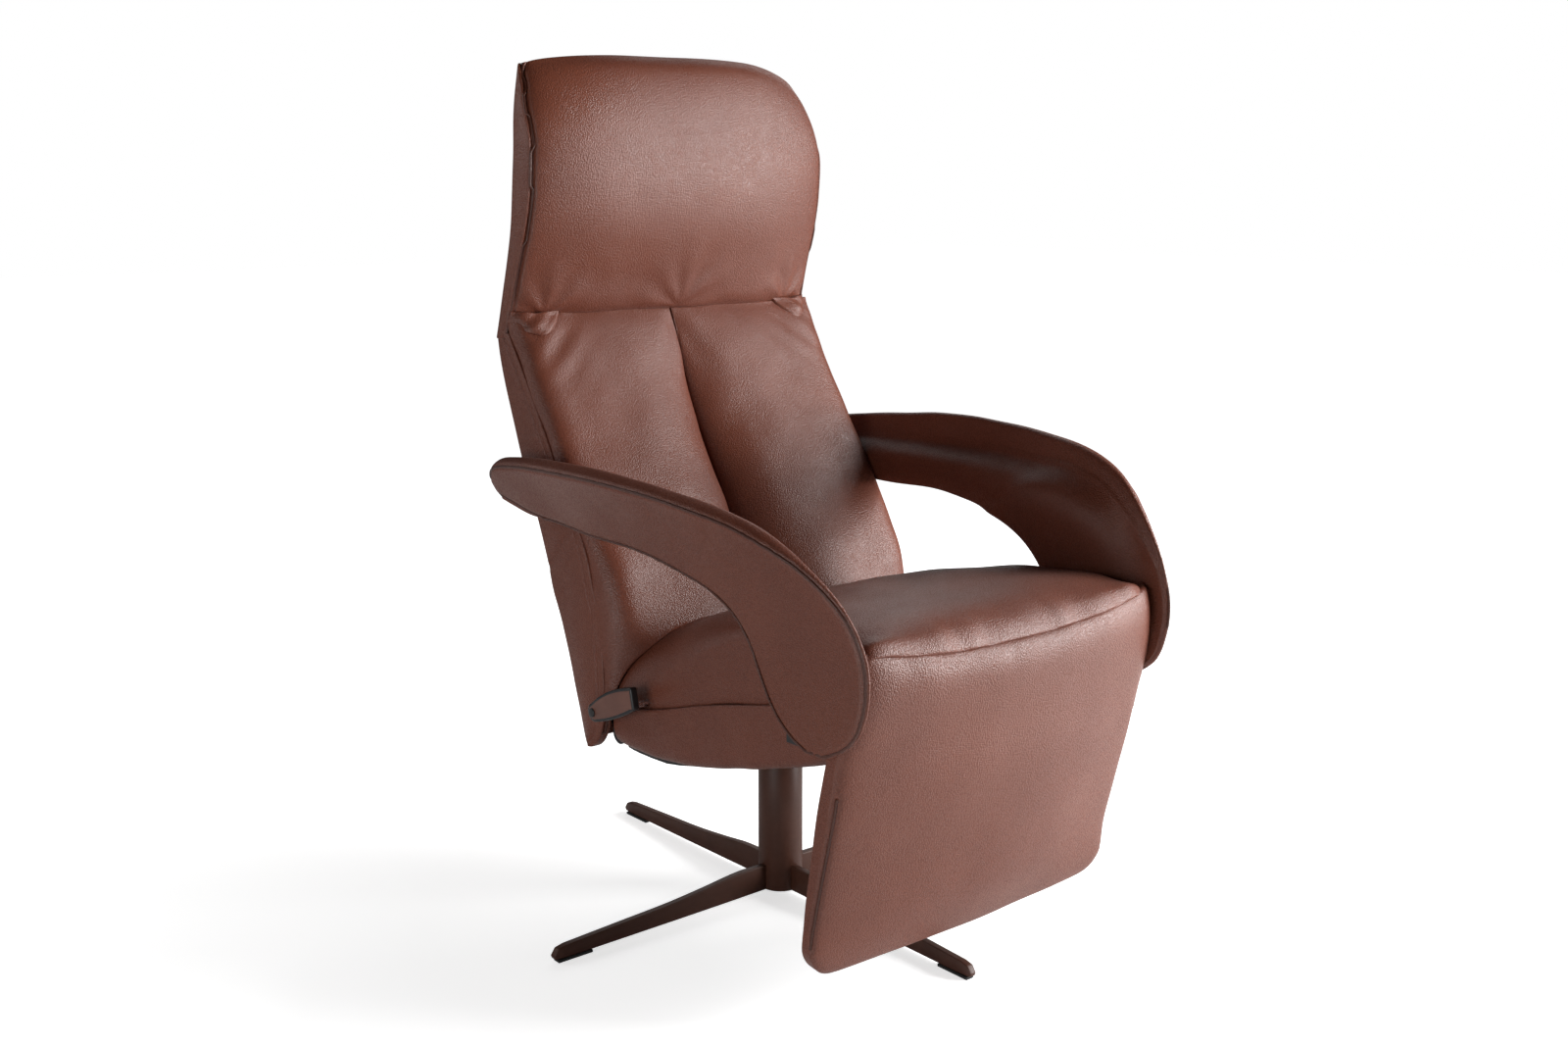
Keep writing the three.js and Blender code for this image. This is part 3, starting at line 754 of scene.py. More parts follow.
def make_head():
    """Builds the head pad, its side panels and their piping."""
    def pad(u, v, w):
        s = 2 * u - 1
        edge = shoulder((1 - abs(s)) * 240, 120) * 0.55 + 0.45 * abs(s) ** 2.4
        y0, z0 = HEAD_FRONT.along(v)
        y1, z1 = HEAD_EDGE.along(v)
        z1 = mix(max(z1, 781), z1, v)
        y, z = mix(y0, y1, edge), mix(z0, z1, edge)
        ry, rz = HEAD_REAR.along(v)
        rz = max(rz, 779)
        rise = 14 * (1 - abs(s) ** 3) * ramp(v, 0.8, 1.0)
        y, z = mix(y, ry - 6, w), mix(z, rz + rise, w)
        half = HEAD_HALF.level(z, 0, 1) - 4
        z -= head_sink(s, z)
        return at(s * half - head_lean(s, z), y, z)

    def creases(x, y, z, normal):
        front = ramp(-normal.y, 0.2, 0.7)
        d = math.hypot(x - 8, (z - 782) * 0.8)
        angle = math.atan2(z - 782, x - 8)
        gather = math.cos(angle * 8 + 0.6) * math.exp(-((d - 34) / 34) ** 2) * 0.9
        pull = 0.0
        for cx, side in ((-205, -1), (205, 1)):
            e = math.hypot(x - cx, (z - 792) * 0.9)
            a = math.atan2(z - 780, (x - cx) * side)
            pull += math.cos(a * 7 + 1.0) * math.exp(-((e - 26) / 26) ** 2) * 1.2
        low = math.exp(-((z - 800) / 46) ** 2)
        waves = wander(x, y, z, 42, 3.1) * 1.5 * low
        return front * (gather + pull + waves) + wander(x, y, z, 110) * 1.6

    head = upholster("head_pad", rows(480, (5, 16, 34), 34), rows(360, (4, 13, 28), 30),
                     rows(60, (5, 15), 30), pad, 3, creases)
    settle(head, "leather", None, "head_cushion", "head_panel", "head_board", fill=0.75)
    pieces = [head]
    for side, word in SIDES:
        def panel(u, v, w, side=side):
            y0, z0 = HEAD_EDGE.along(v)
            y1, z1 = HEAD_REAR.along(v)
            y, z = mix(y0 + 1, y1, w), mix(z0, z1, w)
            half = HEAD_HALF.level(z, 0, 1)
            bulge = 2.5 * math.sin(math.pi * w) * u
            x = side * (mix(half - 15, half, u) + bulge) - head_lean(side, z)
            z -= head_sink(side, z)
            return at(x, y, z)
        obj = upholster(f"head_side_panel_{word}", rows(15, (4,), 8),
                        rows(340, (4, 12), 30), rows(44, (4, 12), 12), panel, 2,
                        lambda x, y, z, n: wander(x, y, z, 60, 5) * 0.8)
        settle(obj, "leather", None, f"head_side_{word}", fill=0.8)
        pieces.append(obj)
    tree = surface_of(*pieces)
    seams = []
    for side in (-1, 1):
        line = []
        for i in range(61):
            y, z = HEAD_EDGE.along(i / 60)
            x = side * (HEAD_HALF.level(z, 0, 1) - 3) - head_lean(side, z)
            line.append(at(x, y, z - head_sink(side, z)))
        seams.append(line)
    seams = [lay(seam, tree) for seam in seams]
    for obj in pieces:
        press(obj, [finer(seam) for seam in seams], 6.0, 2.4)
    tree = surface_of(*pieces)
    for obj in (*pieces, piping("head_piping", seams, tree)):
        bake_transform(obj)


def make_backs():
    """Builds the two back pads, with the groove between them."""
    width = 250
    for side, word in SIDES:
        def pad(u, v, w, side=side):
            x = mix(1.0, width, u)
            reach = 148.5 - rear_drop(x)
            base = RECLINE_Z + math.sqrt(max(reach ** 2 - (mix(-8, 48, ramp(x, 120, width))
                                                           - RECLINE_Y) ** 2, 0))
            z = mix(base, 781, v)
            crest = BACK_CREST.level(z)
            groove = BACK_GROOVE.level(z)
            seam = BACK_SEAM.level(z)
            y = crest
            valley = 0.4 * shoulder(x, 56) + 0.6 * max(1 - x / 108, 0) ** 1.6
            y += (groove - crest) * valley
            wide = mix(100, 32, ramp(z, 330, 430))
            lean = 0.25 if side < 0 else 0.08
            drop = 0.75 * shoulder(width - x, wide) + lean * ramp(x, 60, width)
            y += (seam - crest) * drop
            inner = max(BACK_INNER.level(z), y + 6)
            y = mix(y, inner, w)
            if v < 0.2:
                arc = math.sqrt(max(reach ** 2 - (y - RECLINE_Y) ** 2, 0)) + RECLINE_Z
                z = mix(arc, max(z, arc + v * 100), ramp(v, 0, 0.2))
            grow = 5 * ramp(x, 150, 250) * (side > 0)
            return at(side * (x + grow), y, z)

        def creases(x, y, z, normal, side=side):
            front = ramp(-normal.y, 0.1, 0.6)
            a = abs(x)
            high = math.exp(-((z - 745) / 40) ** 2)
            fan = math.cos((a * 0.9 + (z - 700) * 0.5) / 9) * math.exp(-(a / 45) ** 2)
            near = math.exp(-((a - 205) / 40) ** 2) * high
            fold = math.cos((a + (z - 760) * 1.2) / 8) * near
            rest = wander(x, y, z, 52, 7.7) * 1.6 + wander(x, y, z, 130, 2) * 2.4
            return front * (fan * high * 1.4 + fold * 1.2) + rest

        obj = upholster(f"back_pad_{word}", rows(238, (4, 13, 28), 24),
                        rows(400, (4, 12, 26), 28), rows(40, (5, 14), 14), pad, 3,
                        creases)
        settle(obj, "leather", "backrest", f"back_cushion_{word}", fill=0.7)


def make_back_folds():
    """Folded leather corners where the back pads tuck under the headrest."""
    for side, word in SIDES:
        def leaf(u, v, w, side=side):
            x = mix(250, 182, u)
            hang = 27 * math.sin(math.pi * min(0.16 + 0.84 * u, 1.0)) ** 0.8 + 2
            z = 786 - 3 * math.sin(math.pi * u) - hang * v
            base = mix(BACK_CREST.level(z), BACK_SEAM.level(z),
                       0.75 * shoulder(247 - x, 36) + 0.25 * ramp(x, 60, 247))
            puff = 9 * math.sin(math.pi * mix(0.2, 0.9, v)) * math.sin(math.pi * mix(0.1, 0.95, u))
            return at(side * x, base + 8 - (puff + 9) * (1 - w), z)

        obj = upholster(f"back_fold_{word}", rows(68, (3, 9), 8), rows(30, (3,), 5),
                        rows(16, (4,), 6), leaf, 2,
                        lambda x, y, z, n: 0.7 * math.cos((abs(x) + 1.4 * z) / 4.5))
        settle(obj, "leather", "backrest", fill=0.6)


def make_back_cover():
    """Builds the back's side panels, rear cover and piping."""
    sides = []
    for side, word in SIDES:
        def panel(u, v, w, side=side):
            y0, z0 = SIDE_FRONT.along(v)
            y1, z1 = BACK_REAR.along(0.935 * v)
            y, z = mix(y0, y1, w), mix(z0, z1, w)
            bulge = 3.0 * math.sin(math.pi * w) * u
            return at(side * (mix(238, 251.5, u) + bulge), y, z)

        def ridges(x, y, z, normal, side=side):
            seam_y = SIDE_FRONT.level(z)
            strip = math.exp(-((y - seam_y - 13) / 2.6) ** 2)
            cut = (z - 512) * 52 + (y - 119) * 54
            slash = math.exp(-(cut / 75 / 3.0) ** 2) * ramp(y, 112, 124)
            out = ramp(normal.x * side, 0.3, 0.8)
            sag = math.exp(-((z - 425) / 30) ** 2) * ramp(y, 120, 165) * 3.0
            return out * (-1.6 * strip - 1.8 * slash) + sag + wander(x, y, z, 60, 9)

        obj = upholster(f"back_side_panel_{word}", rows(14, (4,), 7),
                        rows(560, (4, 12), 16), rows(75, (4, 10, 17), 7), panel, 2,
                        ridges)
        settle(obj, "leather", "backrest", f"back_side_{word}", fill=0.8)
        sides.append(obj)

    def rear(u, v, w):
        s = 2 * u - 1
        y, z = BACK_REAR.along(mix(0.02, 1.0, v))
        y += 3 * (1 - abs(s) ** 4) * (1 - abs(2 * v - 1) ** 6)
        return at(s * (241 + 9 * ramp(z, 745, 775)), y - 1 - 9 * w, z)

    obj = upholster("back_rear_cover", rows(482, (4, 13), 34), rows(560, (4, 13), 30),
                    rows(9, (3,), 4), rear, 2,
                    lambda x, y, z, n: wander(x, y, z, 90, 4) * 1.6)
    settle(obj, "leather", None, "back_panel", fill=0.7)
    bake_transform(obj)
    tree = surface_of(*sides)
    fronts = []
    for side in (-1, 1):
        fronts.append([at(side * 244, *SIDE_FRONT.along(mix(0.05, 0.985, i / 90)))
                       for i in range(91)])
    fronts = [lay(front, tree) for front in fronts]
    for obj in sides:
        press(obj, [finer(front) for front in fronts], 6.0, 2.0)
    tree = surface_of(*sides)
    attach(piping("back_piping", fronts, tree), "backrest")


def make_seat():
    """Builds the seat pad."""
    half = 238

    def pad(u, v, w):
        s = 2 * u - 1
        y0, z0 = SEAT_TOP.along(v)
        edge = (1 - abs(s)) * half
        rear = ramp(y0, -260, 10)
        top = z0 - mix(20 * shoulder(edge, 34), rear_drop(s * half), rear) - 4 * s * s
        lip = ramp(-y0, 395, 432)
        top += lip * 24 * abs(s) ** 2.2
        y0 += lip * 12 * abs(s) ** 5
        y1 = mix(86, -376, v)
        low = SEAT_SEAM.level(y1, 0, 1)
        y, z = mix(y0, y1, w), mix(top, low, w)
        belly = 3.5 * math.sin(math.pi * w)
        return at(s * (half - 3 + belly), y, z)

    def creases(x, y, z, normal):
        top = ramp(normal.z - normal.y, 0.3, 0.8)
        near = math.exp(-((y + 426) / 17) ** 2)
        tucks = math.cos(x / 11 + 2.4 * wander(x, 0, 0, 90, 1)) * near * 1.0
        return top * tucks + wander(x, y, z, 65, 6) * 1.8 + wander(x, y, z, 150, 3) * 3

    obj = upholster("seat_pad", rows(472, (5, 15, 34), 32), rows(540, (5, 14, 26), 26),
                    rows(100, (5, 16), 26), pad, 3, creases)
    settle(obj, "leather", "seat", "seat_cushion", fill=0.75)


def make_seat_box():
    """Builds the seat's side panels and the liner under it."""
    for side, word in SIDES:
        def panel(u, v, w, side=side):
            y = mix(45, -380, v)
            top = SEAT_SEAM.level(y, 0, 1) + 1
            low = BOX_BOTTOM.level(y, 0, 1)
            z = mix(top, low, w)
            under = 16 * shoulder((1 - w) * (top - low), 26)
            return at(side * (mix(219, 240, u) - under * u), y, z)

        obj = upholster(f"seat_side_panel_{word}", rows(20, (5,), 10),
                        rows(410, (4, 12), 26), rows(70, (4, 13), 13), panel, 2,
                        lambda x, y, z, n: wander(x, y, z, 46, 8) * 1.7)
        settle(obj, "leather", "seat", f"seat_side_{word}", fill=0.7)

    def sheet(u, v, w):
        y = mix(40, -356, v)
        z = SEAT_BOTTOM.level(y, 0, 1)
        x = mix(-224, 224, u)
        z += 22 * shoulder(224 - abs(x), 40)
        return at(x, y, z + 3 - 3 * w)

    obj = block("seat_bottom_cover", rows(436, (4, 13), 30), rows(410, (4, 13), 30),
                (0, 1), sheet)
    hole = bmesh.new()
    bmesh.ops.create_cone(hole, segments=64, radius1=36 * MM, radius2=36 * MM,
                          depth=0.2, cap_ends=True)
    bmesh.ops.translate(hole, verts=hole.verts, vec=at(0, 0, 225))
    mesh = bpy.data.meshes.new("column_hole")
    hole.to_mesh(mesh)
    hole.free()
    cutter = link("column_hole", mesh)
    cut = obj.modifiers.new("Hole", "BOOLEAN")
    cut.object = cutter
    cut.solver = "EXACT"
    bake(obj)
    bpy.data.objects.remove(cutter)
    for face in obj.data.polygons:
        face.use_smooth = False
    settle(obj, "liner", "seat", "seat_underside", slot="leather")


def make_front():
    """Builds the pad that runs over the knee and down the legrest."""
    halves = Path((68, 208), (76, 230), (92, 245), (115, 249), (200, 250), (320, 251), (380, 249),
                  (430, 243), (480, 238))

    def pad(u, v, w):
        s = 2 * u - 1
        y0, z0 = FRONT_FACE.along(v)
        y1, z1 = FRONT_BACK.along(v)
        half = halves.level(z0, 0, 1)
        edge = (1 - abs(s)) * half
        knee = ramp(z0, 300, 400)
        low = 1 - ramp(z0, 60, 150)
        back = mix(mix(8, 4, low), 15, knee) * shoulder(edge, mix(22, 40, knee))
        back += mix(29, 13, knee) * (s * s - 0.45) * (1 - 0.8 * low)
        y0 += back
        lift = 24 * abs(s) ** 2.2
        z0 += lift * ramp(z0, 375, 445)
        z1 += lift * ramp(z1, 375, 445)
        y0 = min(y0, y1 - 6)
        y, z = mix(y0, y1, w), mix(z0, z1, w)
        return at(s * half + 4 * max(s, 0), y, z + 4 * s * low)

    def creases(x, y, z, normal):
        front = ramp(-normal.y, 0.1, 0.6)
        near = math.exp(-((z - 438 - 24 * abs(x / 240) ** 2.2) / 20) ** 2)
        tucks = math.cos(x / 12 + 2.0 * wander(x, 0, 0, 80, 2)) * near * 0.5
        return front * tucks + wander(x, y, z, 80, 5) * 1.3 + wander(x, y, z, 170, 8) * 2.2

    obj = upholster("front_pad", rows(490, (4, 13, 30), 34), rows(470, (4, 12), 22),
                    rows(34, (5, 14), 12), pad, 3, creases)
    settle(obj, "leather", None, "knee_roll", "legrest_pad", fill=0.75)
    tree = surface_of(obj)
    lines = []
    for side in (-1, 1):
        line = []
        for i in range(70):
            t = mix(0.40, 0.90, i / 69)
            y, z = FRONT_FACE.along(t)
            line.append(at(side * (halves.level(z, 0, 1) + 1), y + 14, z))
        lines.append(lay(line, tree))
    press(obj, [finer(line) for line in lines], 6.0, 2.2)
    tree = surface_of(obj)
    for piece in (obj, piping("front_piping", lines, tree, 0.9)):
        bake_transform(piece)


def make_arms():
    """Builds the two looped arm covers and their piping."""
    def sizes(t):
        top = mix(mix(42, 58, min(t / 0.3, 1.0)), 13, ramp(t, 0.5, 0.85))
        low = mix(17, 12, t)
        return top, low

    for side, word in SIDES:
        def pad(u, v, w, side=side):
            oy, oz = ARM_OUTER.along(u)
            iy, iz = ARM_INNER.along(u)
            top, low = sizes(u)
            y, z = mix(iy, oy, v), mix(iz, oz, v)
            out_x = arm_flare(z) + 1.5 * math.sin(math.pi * v)
            in_low = max(arm_flare(iz) - low, 234.5)
            in_top = max(arm_flare(oz) - top, 234.5)
            in_x = mix(in_low, in_top, v ** 0.8)
            in_x = max(in_x - 6 * math.sin(math.pi * v) * ramp(top, 20, 40), 234.0)
            flat = 235.5 + 70 * max(v - 0.66, 0) + 60 * (1 - ramp(u, 0.46, 0.6))
            in_x = min(in_x, flat)
            x = mix(out_x, in_x, w)
            crown = 0.28 * top * math.sin(math.pi * min(w * 1.06, 1.0)) * ramp(v, 0.7, 1)
            drop = 0.16 * top * ramp(w, 0.6, 1.0) * ramp(v, 0.6, 1)
            dy, dz = oy - iy, oz - iz
            size = max(math.hypot(dy, dz), 1)
            fat = ramp(u, 0.15, 0.35) * (1 - ramp(u, 0.5, 0.62))
            corner = mix(0.24 * top, 22, fat) * ramp(w, 0.4, 1.0) * ramp(v, 0.35, 1.0)
            x += corner
            push = (crown - drop - corner) / size
            if side > 0:
                x += 6 * math.exp(-((z - 440) / 40) ** 2) - 7 * math.exp(-((z - 540) / 40) ** 2)
                rise = (15 - 11 * ramp(y, -60, 160)) * ramp(z, 420, 500) * ramp(y, -430, -320)
            else:
                rise = -6 * ramp(y, 120, 200) * (1 - v)
            return at(side * x, y + dy * push, z + dz * push + rise)

        def dents(x, y, z, normal, side=side):
            out = ramp(normal.x * side, 0.3, 0.8)
            near = math.exp(-((z - 570) / 22) ** 2) * ramp(-y, -60, 120)
            lumps = wander(x, y, z, 36, 11) * 2.6 * near
            return out * lumps + wander(x, y, z, 70, 12) * 1.3

        obj = upholster(f"arm_pad_{word}_cover", rows(1000, (4, 12, 24), 26),
                        rows(90, (4, 12), 16), rows(46, (4, 12), 11), pad, 2, dents)
        settle(obj, "leather", "seat", f"arm_pad_{word}", f"arm_core_{word}", fill=0.8)
        tree = surface_of(obj)
        loop = []
        for i in range(120):
            y, z = ARM_OUTER.along(i / 119)
            loop.append(at(side * (arm_flare(z) + 1), y, z))
        for i in range(110):
            y, z = ARM_INNER.along(1 - i / 109)
            loop.append(at(side * (arm_flare(z) + 1), y, z))
        loop = lay(loop, tree)
        press(obj, [finer(loop, 3)], 7.0, 2.6)
        tree = surface_of(obj)
        cord = piping(f"arm_piping_{word}", [loop], tree, sink=0.0002, closed=True)
        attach(cord, "seat")


def outline_piece(name, outline, x0, x1, bevel, segments=3):
    """Flat plate cut to an outline in (y, z), with rounded edges."""
    bm = bmesh.new()
    near = [bm.verts.new(at(x0, y, z)) for y, z in outline]
    far = [bm.verts.new(at(x1, y, z)) for y, z in outline]
    count = len(outline)
    bm.faces.new(near)
    bm.faces.new(list(reversed(far)))
    for i in range(count):
        j = (i + 1) % count
        bm.faces.new((near[i], far[i], far[j], near[j]))
    bmesh.ops.recalc_face_normals(bm, faces=bm.faces)
    mesh = bpy.data.meshes.new(name)
    bm.to_mesh(mesh)
    bm.free()
    obj = link(name, mesh)
    round_off = obj.modifiers.new("Bevel", "BEVEL")
    round_off.width = bevel * MM
    round_off.segments = segments
    round_off.limit_method = "ANGLE"
    round_off.angle_limit = math.radians(40)
    return bake(obj)


def lever_outline(inset=0.0):
    """Edge of the lever handle, drawn in by inset."""
    points = [(-36, 345), (-38, 340), (-43, 318)]
    a, b, c = (-43, 318), (0, 293), (44, 281)
    for i in range(1, 13):
        t = i / 12
        p, q = mix2(a, b, t), mix2(b, c, t)
        points.append(mix2(p, q, t))
    for i in range(1, 16):
        turn = math.pi * mix(-0.6, 0.38, i / 15)
        points.append((48 + 12 * math.cos(turn), 293 + 12 * math.sin(turn)))
    a, b, c = points[-1], (18, 333), (-36, 345)
    for i in range(1, 12):
        t = i / 12
        p, q = mix2(a, b, t), mix2(b, c, t)
        points.append(mix2(p, q, t))
    if not inset:
        return points
    out = []
    count = len(points)
    for i in range(count):
        (y0, z0), (y1, z1) = points[i - 1], points[(i + 1) % count]
        ny, nz = z1 - z0, y0 - y1
        size = math.hypot(ny, nz)
        out.append((points[i][0] - ny / size * inset, points[i][1] - nz / size * inset))
    return out


def make_lever():
    """Builds the release lever, its infill and its button."""
    low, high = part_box("lever_body")
    x0, x1 = low.x / MM, high.x / MM
    body = outline_piece("lever_handle", lever_outline(), x0 + 1.2, x1, 2.2, 4)
    settle(body, "black_plastic", "lever", "lever_body")
    low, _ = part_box("lever_insert")
    infill = outline_piece("lever_infill", lever_outline(3.6), low.x / MM,
                           low.x / MM + 4, 0.8)
    settle(infill, "brown_plastic", "lever", "lever_insert")
    low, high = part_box("lever_button")
    cy, cz = (low.y + high.y) / 2, (low.z + high.z) / 2
    ry, rz = (high.y - low.y) / 2, (high.z - low.z) / 2
    ring = []
    for i in range(32):
        turn = math.tau * i / 32
        ring.append(((cy + ry * math.cos(turn) - AXIS_Y) / MM,
                     (cz + rz * math.sin(turn)) / MM))
    button = outline_piece("lever_push_button", ring, low.x / MM, high.x / MM, 1.0, 4)
    settle(button, "black_plastic", "button", "lever_button")


def leg_outline():
    """Side view of a leg: (distance from the axis, height)."""
    top = Path((28, 40.5), (75, 40), (130, 34), (190, 28.5), (260, 25), (330, 21.5),
               (354, 20), (365, 16), (368, 9))
    low = Path((366, 4.5), (361, 3.7), (300, 3.7), (200, 4), (100, 4.6), (28, 5.4))
    points = [top.along(i / 30) for i in range(31)]
    return points + [low.along(i / 12) for i in range(13)]


def make_base():
    """Builds the four legs and the column."""
    turns = {"left": 0.0, "rear": math.pi / 2, "right": math.pi, "front": -math.pi / 2}
    for word, turn in turns.items():
        obj = outline_piece(f"base_leg_{word}", leg_outline(), -5, 5, 1.4)
        spin = Matrix.Rotation(turn - math.pi / 2, 4, "Z")
        middle = Matrix.Translation((0, AXIS_Y, 0))
        obj.data.transform(middle @ spin @ middle.inverted())
        settle(obj, "coated_steel", "base", f"leg_{word}")
    low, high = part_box("column_tube")
    bm = bmesh.new()
    rings = ((30.0, low.z / MM + 1.2), (30.0, high.z / MM - 1.2), (28.8, high.z / MM),
             (26.5, high.z / MM), (26.5, low.z / MM), (28.8, low.z / MM))
    count = 96
    verts = []
    for radius, z in rings:
        verts.append([bm.verts.new(at(radius * math.cos(math.tau * i / count),
                                      radius * math.sin(math.tau * i / count), z))
                      for i in range(count)])
    for a, b in zip(verts, verts[1:] + verts[:1]):
        for i in range(count):
            j = (i + 1) % count
            bm.faces.new((a[i], a[j], b[j], b[i]))
    bmesh.ops.recalc_face_normals(bm, faces=bm.faces)
    mesh = bpy.data.meshes.new("base_column")
    bm.to_mesh(mesh)
    bm.free()
    obj = link("base_column", mesh)
    for face in mesh.polygons:
        face.use_smooth = True
    settle(obj, "coated_steel", "base", "column_tube")


def make_frame_finishes():
    """Gives every metal, board, strap and foot of the frame its finish."""
    for name, node in frame["nodes"].items():
        slot = SLOTS.get(name)
        if slot is None:
            raise RuntimeError(f"{name} has no material slot")
        node.data.materials.clear()
        node.data.materials.append(finish(slot))


def make_stage(scene):
    """Builds the floor, the world, the soft lights and the camera."""
    stage = scene.recliner_stage
    size = stage.floor_size
    bm = bmesh.new()
    bmesh.ops.create_grid(bm, x_segments=8, y_segments=8, size=size / 2)
    mesh = bpy.data.meshes.new("floor")
    bm.to_mesh(mesh)
    bm.free()
    floor = link("floor", mesh)
    material, w, shader = new_finish("Pale Floor")
    place = w.add("ShaderNodeTexCoord").outputs["Object"]
    cloudy = w.noise(place, 1.5, 2.0, 0.5)
    w.join(w.tint(cloudy, (0.93, 0.93, 0.93), (0.90, 0.90, 0.90)),
           shader.inputs["Base Color"])
    shader.inputs["Roughness"].default_value = 0.8
    shader.inputs["Specular IOR Level"].default_value = 0.1
    shader.inputs["Emission Color"].default_value = (1, 1, 1, 1)
    seen = w.add("ShaderNodeLightPath").outputs["Is Camera Ray"]
    away = w.add("ShaderNodeVectorMath", operation="LENGTH")
    w.join(place, away.inputs[0])
    glow = w.spread(away.outputs["Value"], 0.5, 2.2, stage.floor_glow, 1.0)
    w.join(w.maths("MULTIPLY", seen, glow), shader.inputs["Emission Strength"])
    mesh.materials.append(material)
    world = scene.world or bpy.data.worlds.new("Studio")
    scene.world = world
    world.use_nodes = True
    tree = world.node_tree
    tree.nodes.clear()
    w = Wiring(tree)
    out = w.add("ShaderNodeOutputWorld")
    seen = w.add("ShaderNodeBackground")
    seen.inputs["Color"].default_value = (1, 1, 1, 1)
    seen.inputs["Strength"].default_value = 1.0
    glow = w.add("ShaderNodeBackground")
    glow.inputs["Color"].default_value = (1, 0.985, 0.97, 1)
    glow.inputs["Strength"].default_value = stage.ambient
    both = w.add("ShaderNodeMixShader")
    path = w.add("ShaderNodeLightPath")
    w.join(path.outputs["Is Camera Ray"], both.inputs[0])
    w.join(glow.outputs[0], both.inputs[1])
    w.join(seen.outputs[0], both.inputs[2])
    w.join(both.outputs[0], out.inputs["Surface"])
    lamps = (
        ("key_light", (1.75, -1.9, 0.95), (1.2, 1.2), stage.key_power),
        ("top_light", (2.15, -0.95, 2.05), (0.8, 0.8), stage.top_power),
        ("left_light", (-2.5, -0.6, 0.7), (1.4, 0.9), stage.side_power),
        ("rear_light", (1.5, 1.8, 1.7), (1.4, 1.4), stage.rear_power),
        ("rear_left_light", (-1.6, 1.9, 1.5), (1.4, 1.4), stage.rear_power),
    )
    for name, place, size, power in lamps:
        data = bpy.data.lights.new(name, "AREA")
        data.shape = "RECTANGLE"
        data.size, data.size_y = size
        data.energy = power
        lamp = bpy.data.objects.new(name, data)
        lamp.location = place
        aim = Vector(LIGHT_TARGET) - Vector(place)
        lamp.rotation_euler = aim.to_track_quat("-Z", "Y").to_euler()
        scene.collection.objects.link(lamp)
    data = bpy.data.cameras.new("camera")
    data.lens = CAMERA_LENS
    data.sensor_width = 36
    data.clip_end = 60
    camera = bpy.data.objects.new("camera", data)
    camera.location = CAMERA_PLACE
    camera.rotation_euler = [math.radians(turn) for turn in CAMERA_TURN]
    scene.collection.objects.link(camera)
    scene.camera = camera
    scene.view_settings.view_transform = "Standard"


# ------------------------------------------------------------------ add-on

class ReclinerLeather(bpy.types.PropertyGroup):
    colour: FloatVectorProperty(
        name="Hide Colour", description="Main colour of the leather",
        subtype="COLOR", size=3, min=0, max=1, default=(0.150, 0.041, 0.021))
    drift: FloatVectorProperty(
        name="Second Colour", description="Colour the hide drifts towards",
        subtype="COLOR", size=3, min=0, max=1, default=(0.128, 0.034, 0.0175))
    pebbles: FloatProperty(
        name="Pebbles per Metre", description="How many grain pebbles fit in a metre",
        default=540.0, min=50.0)
    grain_depth: FloatProperty(
        name="Grain Depth", description="Height of the pebbles",
        subtype="DISTANCE", unit="LENGTH", default=0.0004, min=0.0)
    roughness: FloatProperty(
        name="Roughness", description="How satin the hide looks",
        subtype="FACTOR", default=0.365, min=0.0, max=1.0)


class ReclinerCushions(bpy.types.PropertyGroup):
    piping: FloatProperty(
        name="Piping Radius", description="Radius of the cord in the seams",
        subtype="DISTANCE", unit="LENGTH", default=0.0019, min=0.0005)


class ReclinerMetal(bpy.types.PropertyGroup):
    coat: FloatVectorProperty(
        name="Base Coat", description="Powder coat of the column and legs",
        subtype="COLOR", size=3, min=0, max=1, default=(0.060, 0.021, 0.012))
    insert: FloatVectorProperty(
        name="Lever Infill", description="Colour of the lever's infill",
        subtype="COLOR", size=3, min=0, max=1, default=(0.150, 0.062, 0.044))


class ReclinerStage(bpy.types.PropertyGroup):
    floor_size: FloatProperty(
        name="Floor Size", description="Side of the square floor",
        subtype="DISTANCE", unit="LENGTH", default=30.0, min=1.0)
    floor_glow: FloatProperty(
        name="Floor Glow", description="How far the floor is lit to white",
        default=0.62, min=0.0)
    ambient: FloatProperty(
        name="Ambient", description="Strength of the even light from all sides",
        default=0.02, min=0.0)
    key_power: FloatProperty(
        name="Key Light", description="Power of the main soft light",
        subtype="POWER", unit="POWER", default=112.0, min=0.0)
    top_power: FloatProperty(
        name="High Light", description="Power of the high soft light on the right",
        subtype="POWER", unit="POWER", default=40.0, min=0.0)
    rear_power: FloatProperty(
        name="Rear Lights", description="Power of the two weak lights behind",
        subtype="POWER", unit="POWER", default=11.0, min=0.0)
    side_power: FloatProperty(
        name="Left Light", description="Power of the low light on the left",
        subtype="POWER", unit="POWER", default=22.0, min=0.0)


class RECLINER_OT_frame_finishes(bpy.types.Operator):
    """Paints the metal, boards and straps of the frame"""
    bl_idname = "recliner.frame_finishes"
    bl_label = "Frame Finishes"
    bl_options = {"REGISTER", "UNDO"}

    def execute(self, context):
        make_frame_finishes()
        return {"FINISHED"}


class RECLINER_OT_base(bpy.types.Operator):
    """Builds the column and the legs"""
    bl_idname = "recliner.base"
    bl_label = "Swivel Base"
    bl_options = {"REGISTER", "UNDO"}

    def execute(self, context):
        make_base()
        return {"FINISHED"}


class RECLINER_OT_seat(bpy.types.Operator):
    """Builds the seat cushion"""
    bl_idname = "recliner.seat"
    bl_label = "Seat Pad"
    bl_options = {"REGISTER", "UNDO"}

    def execute(self, context):
        make_seat()
        return {"FINISHED"}


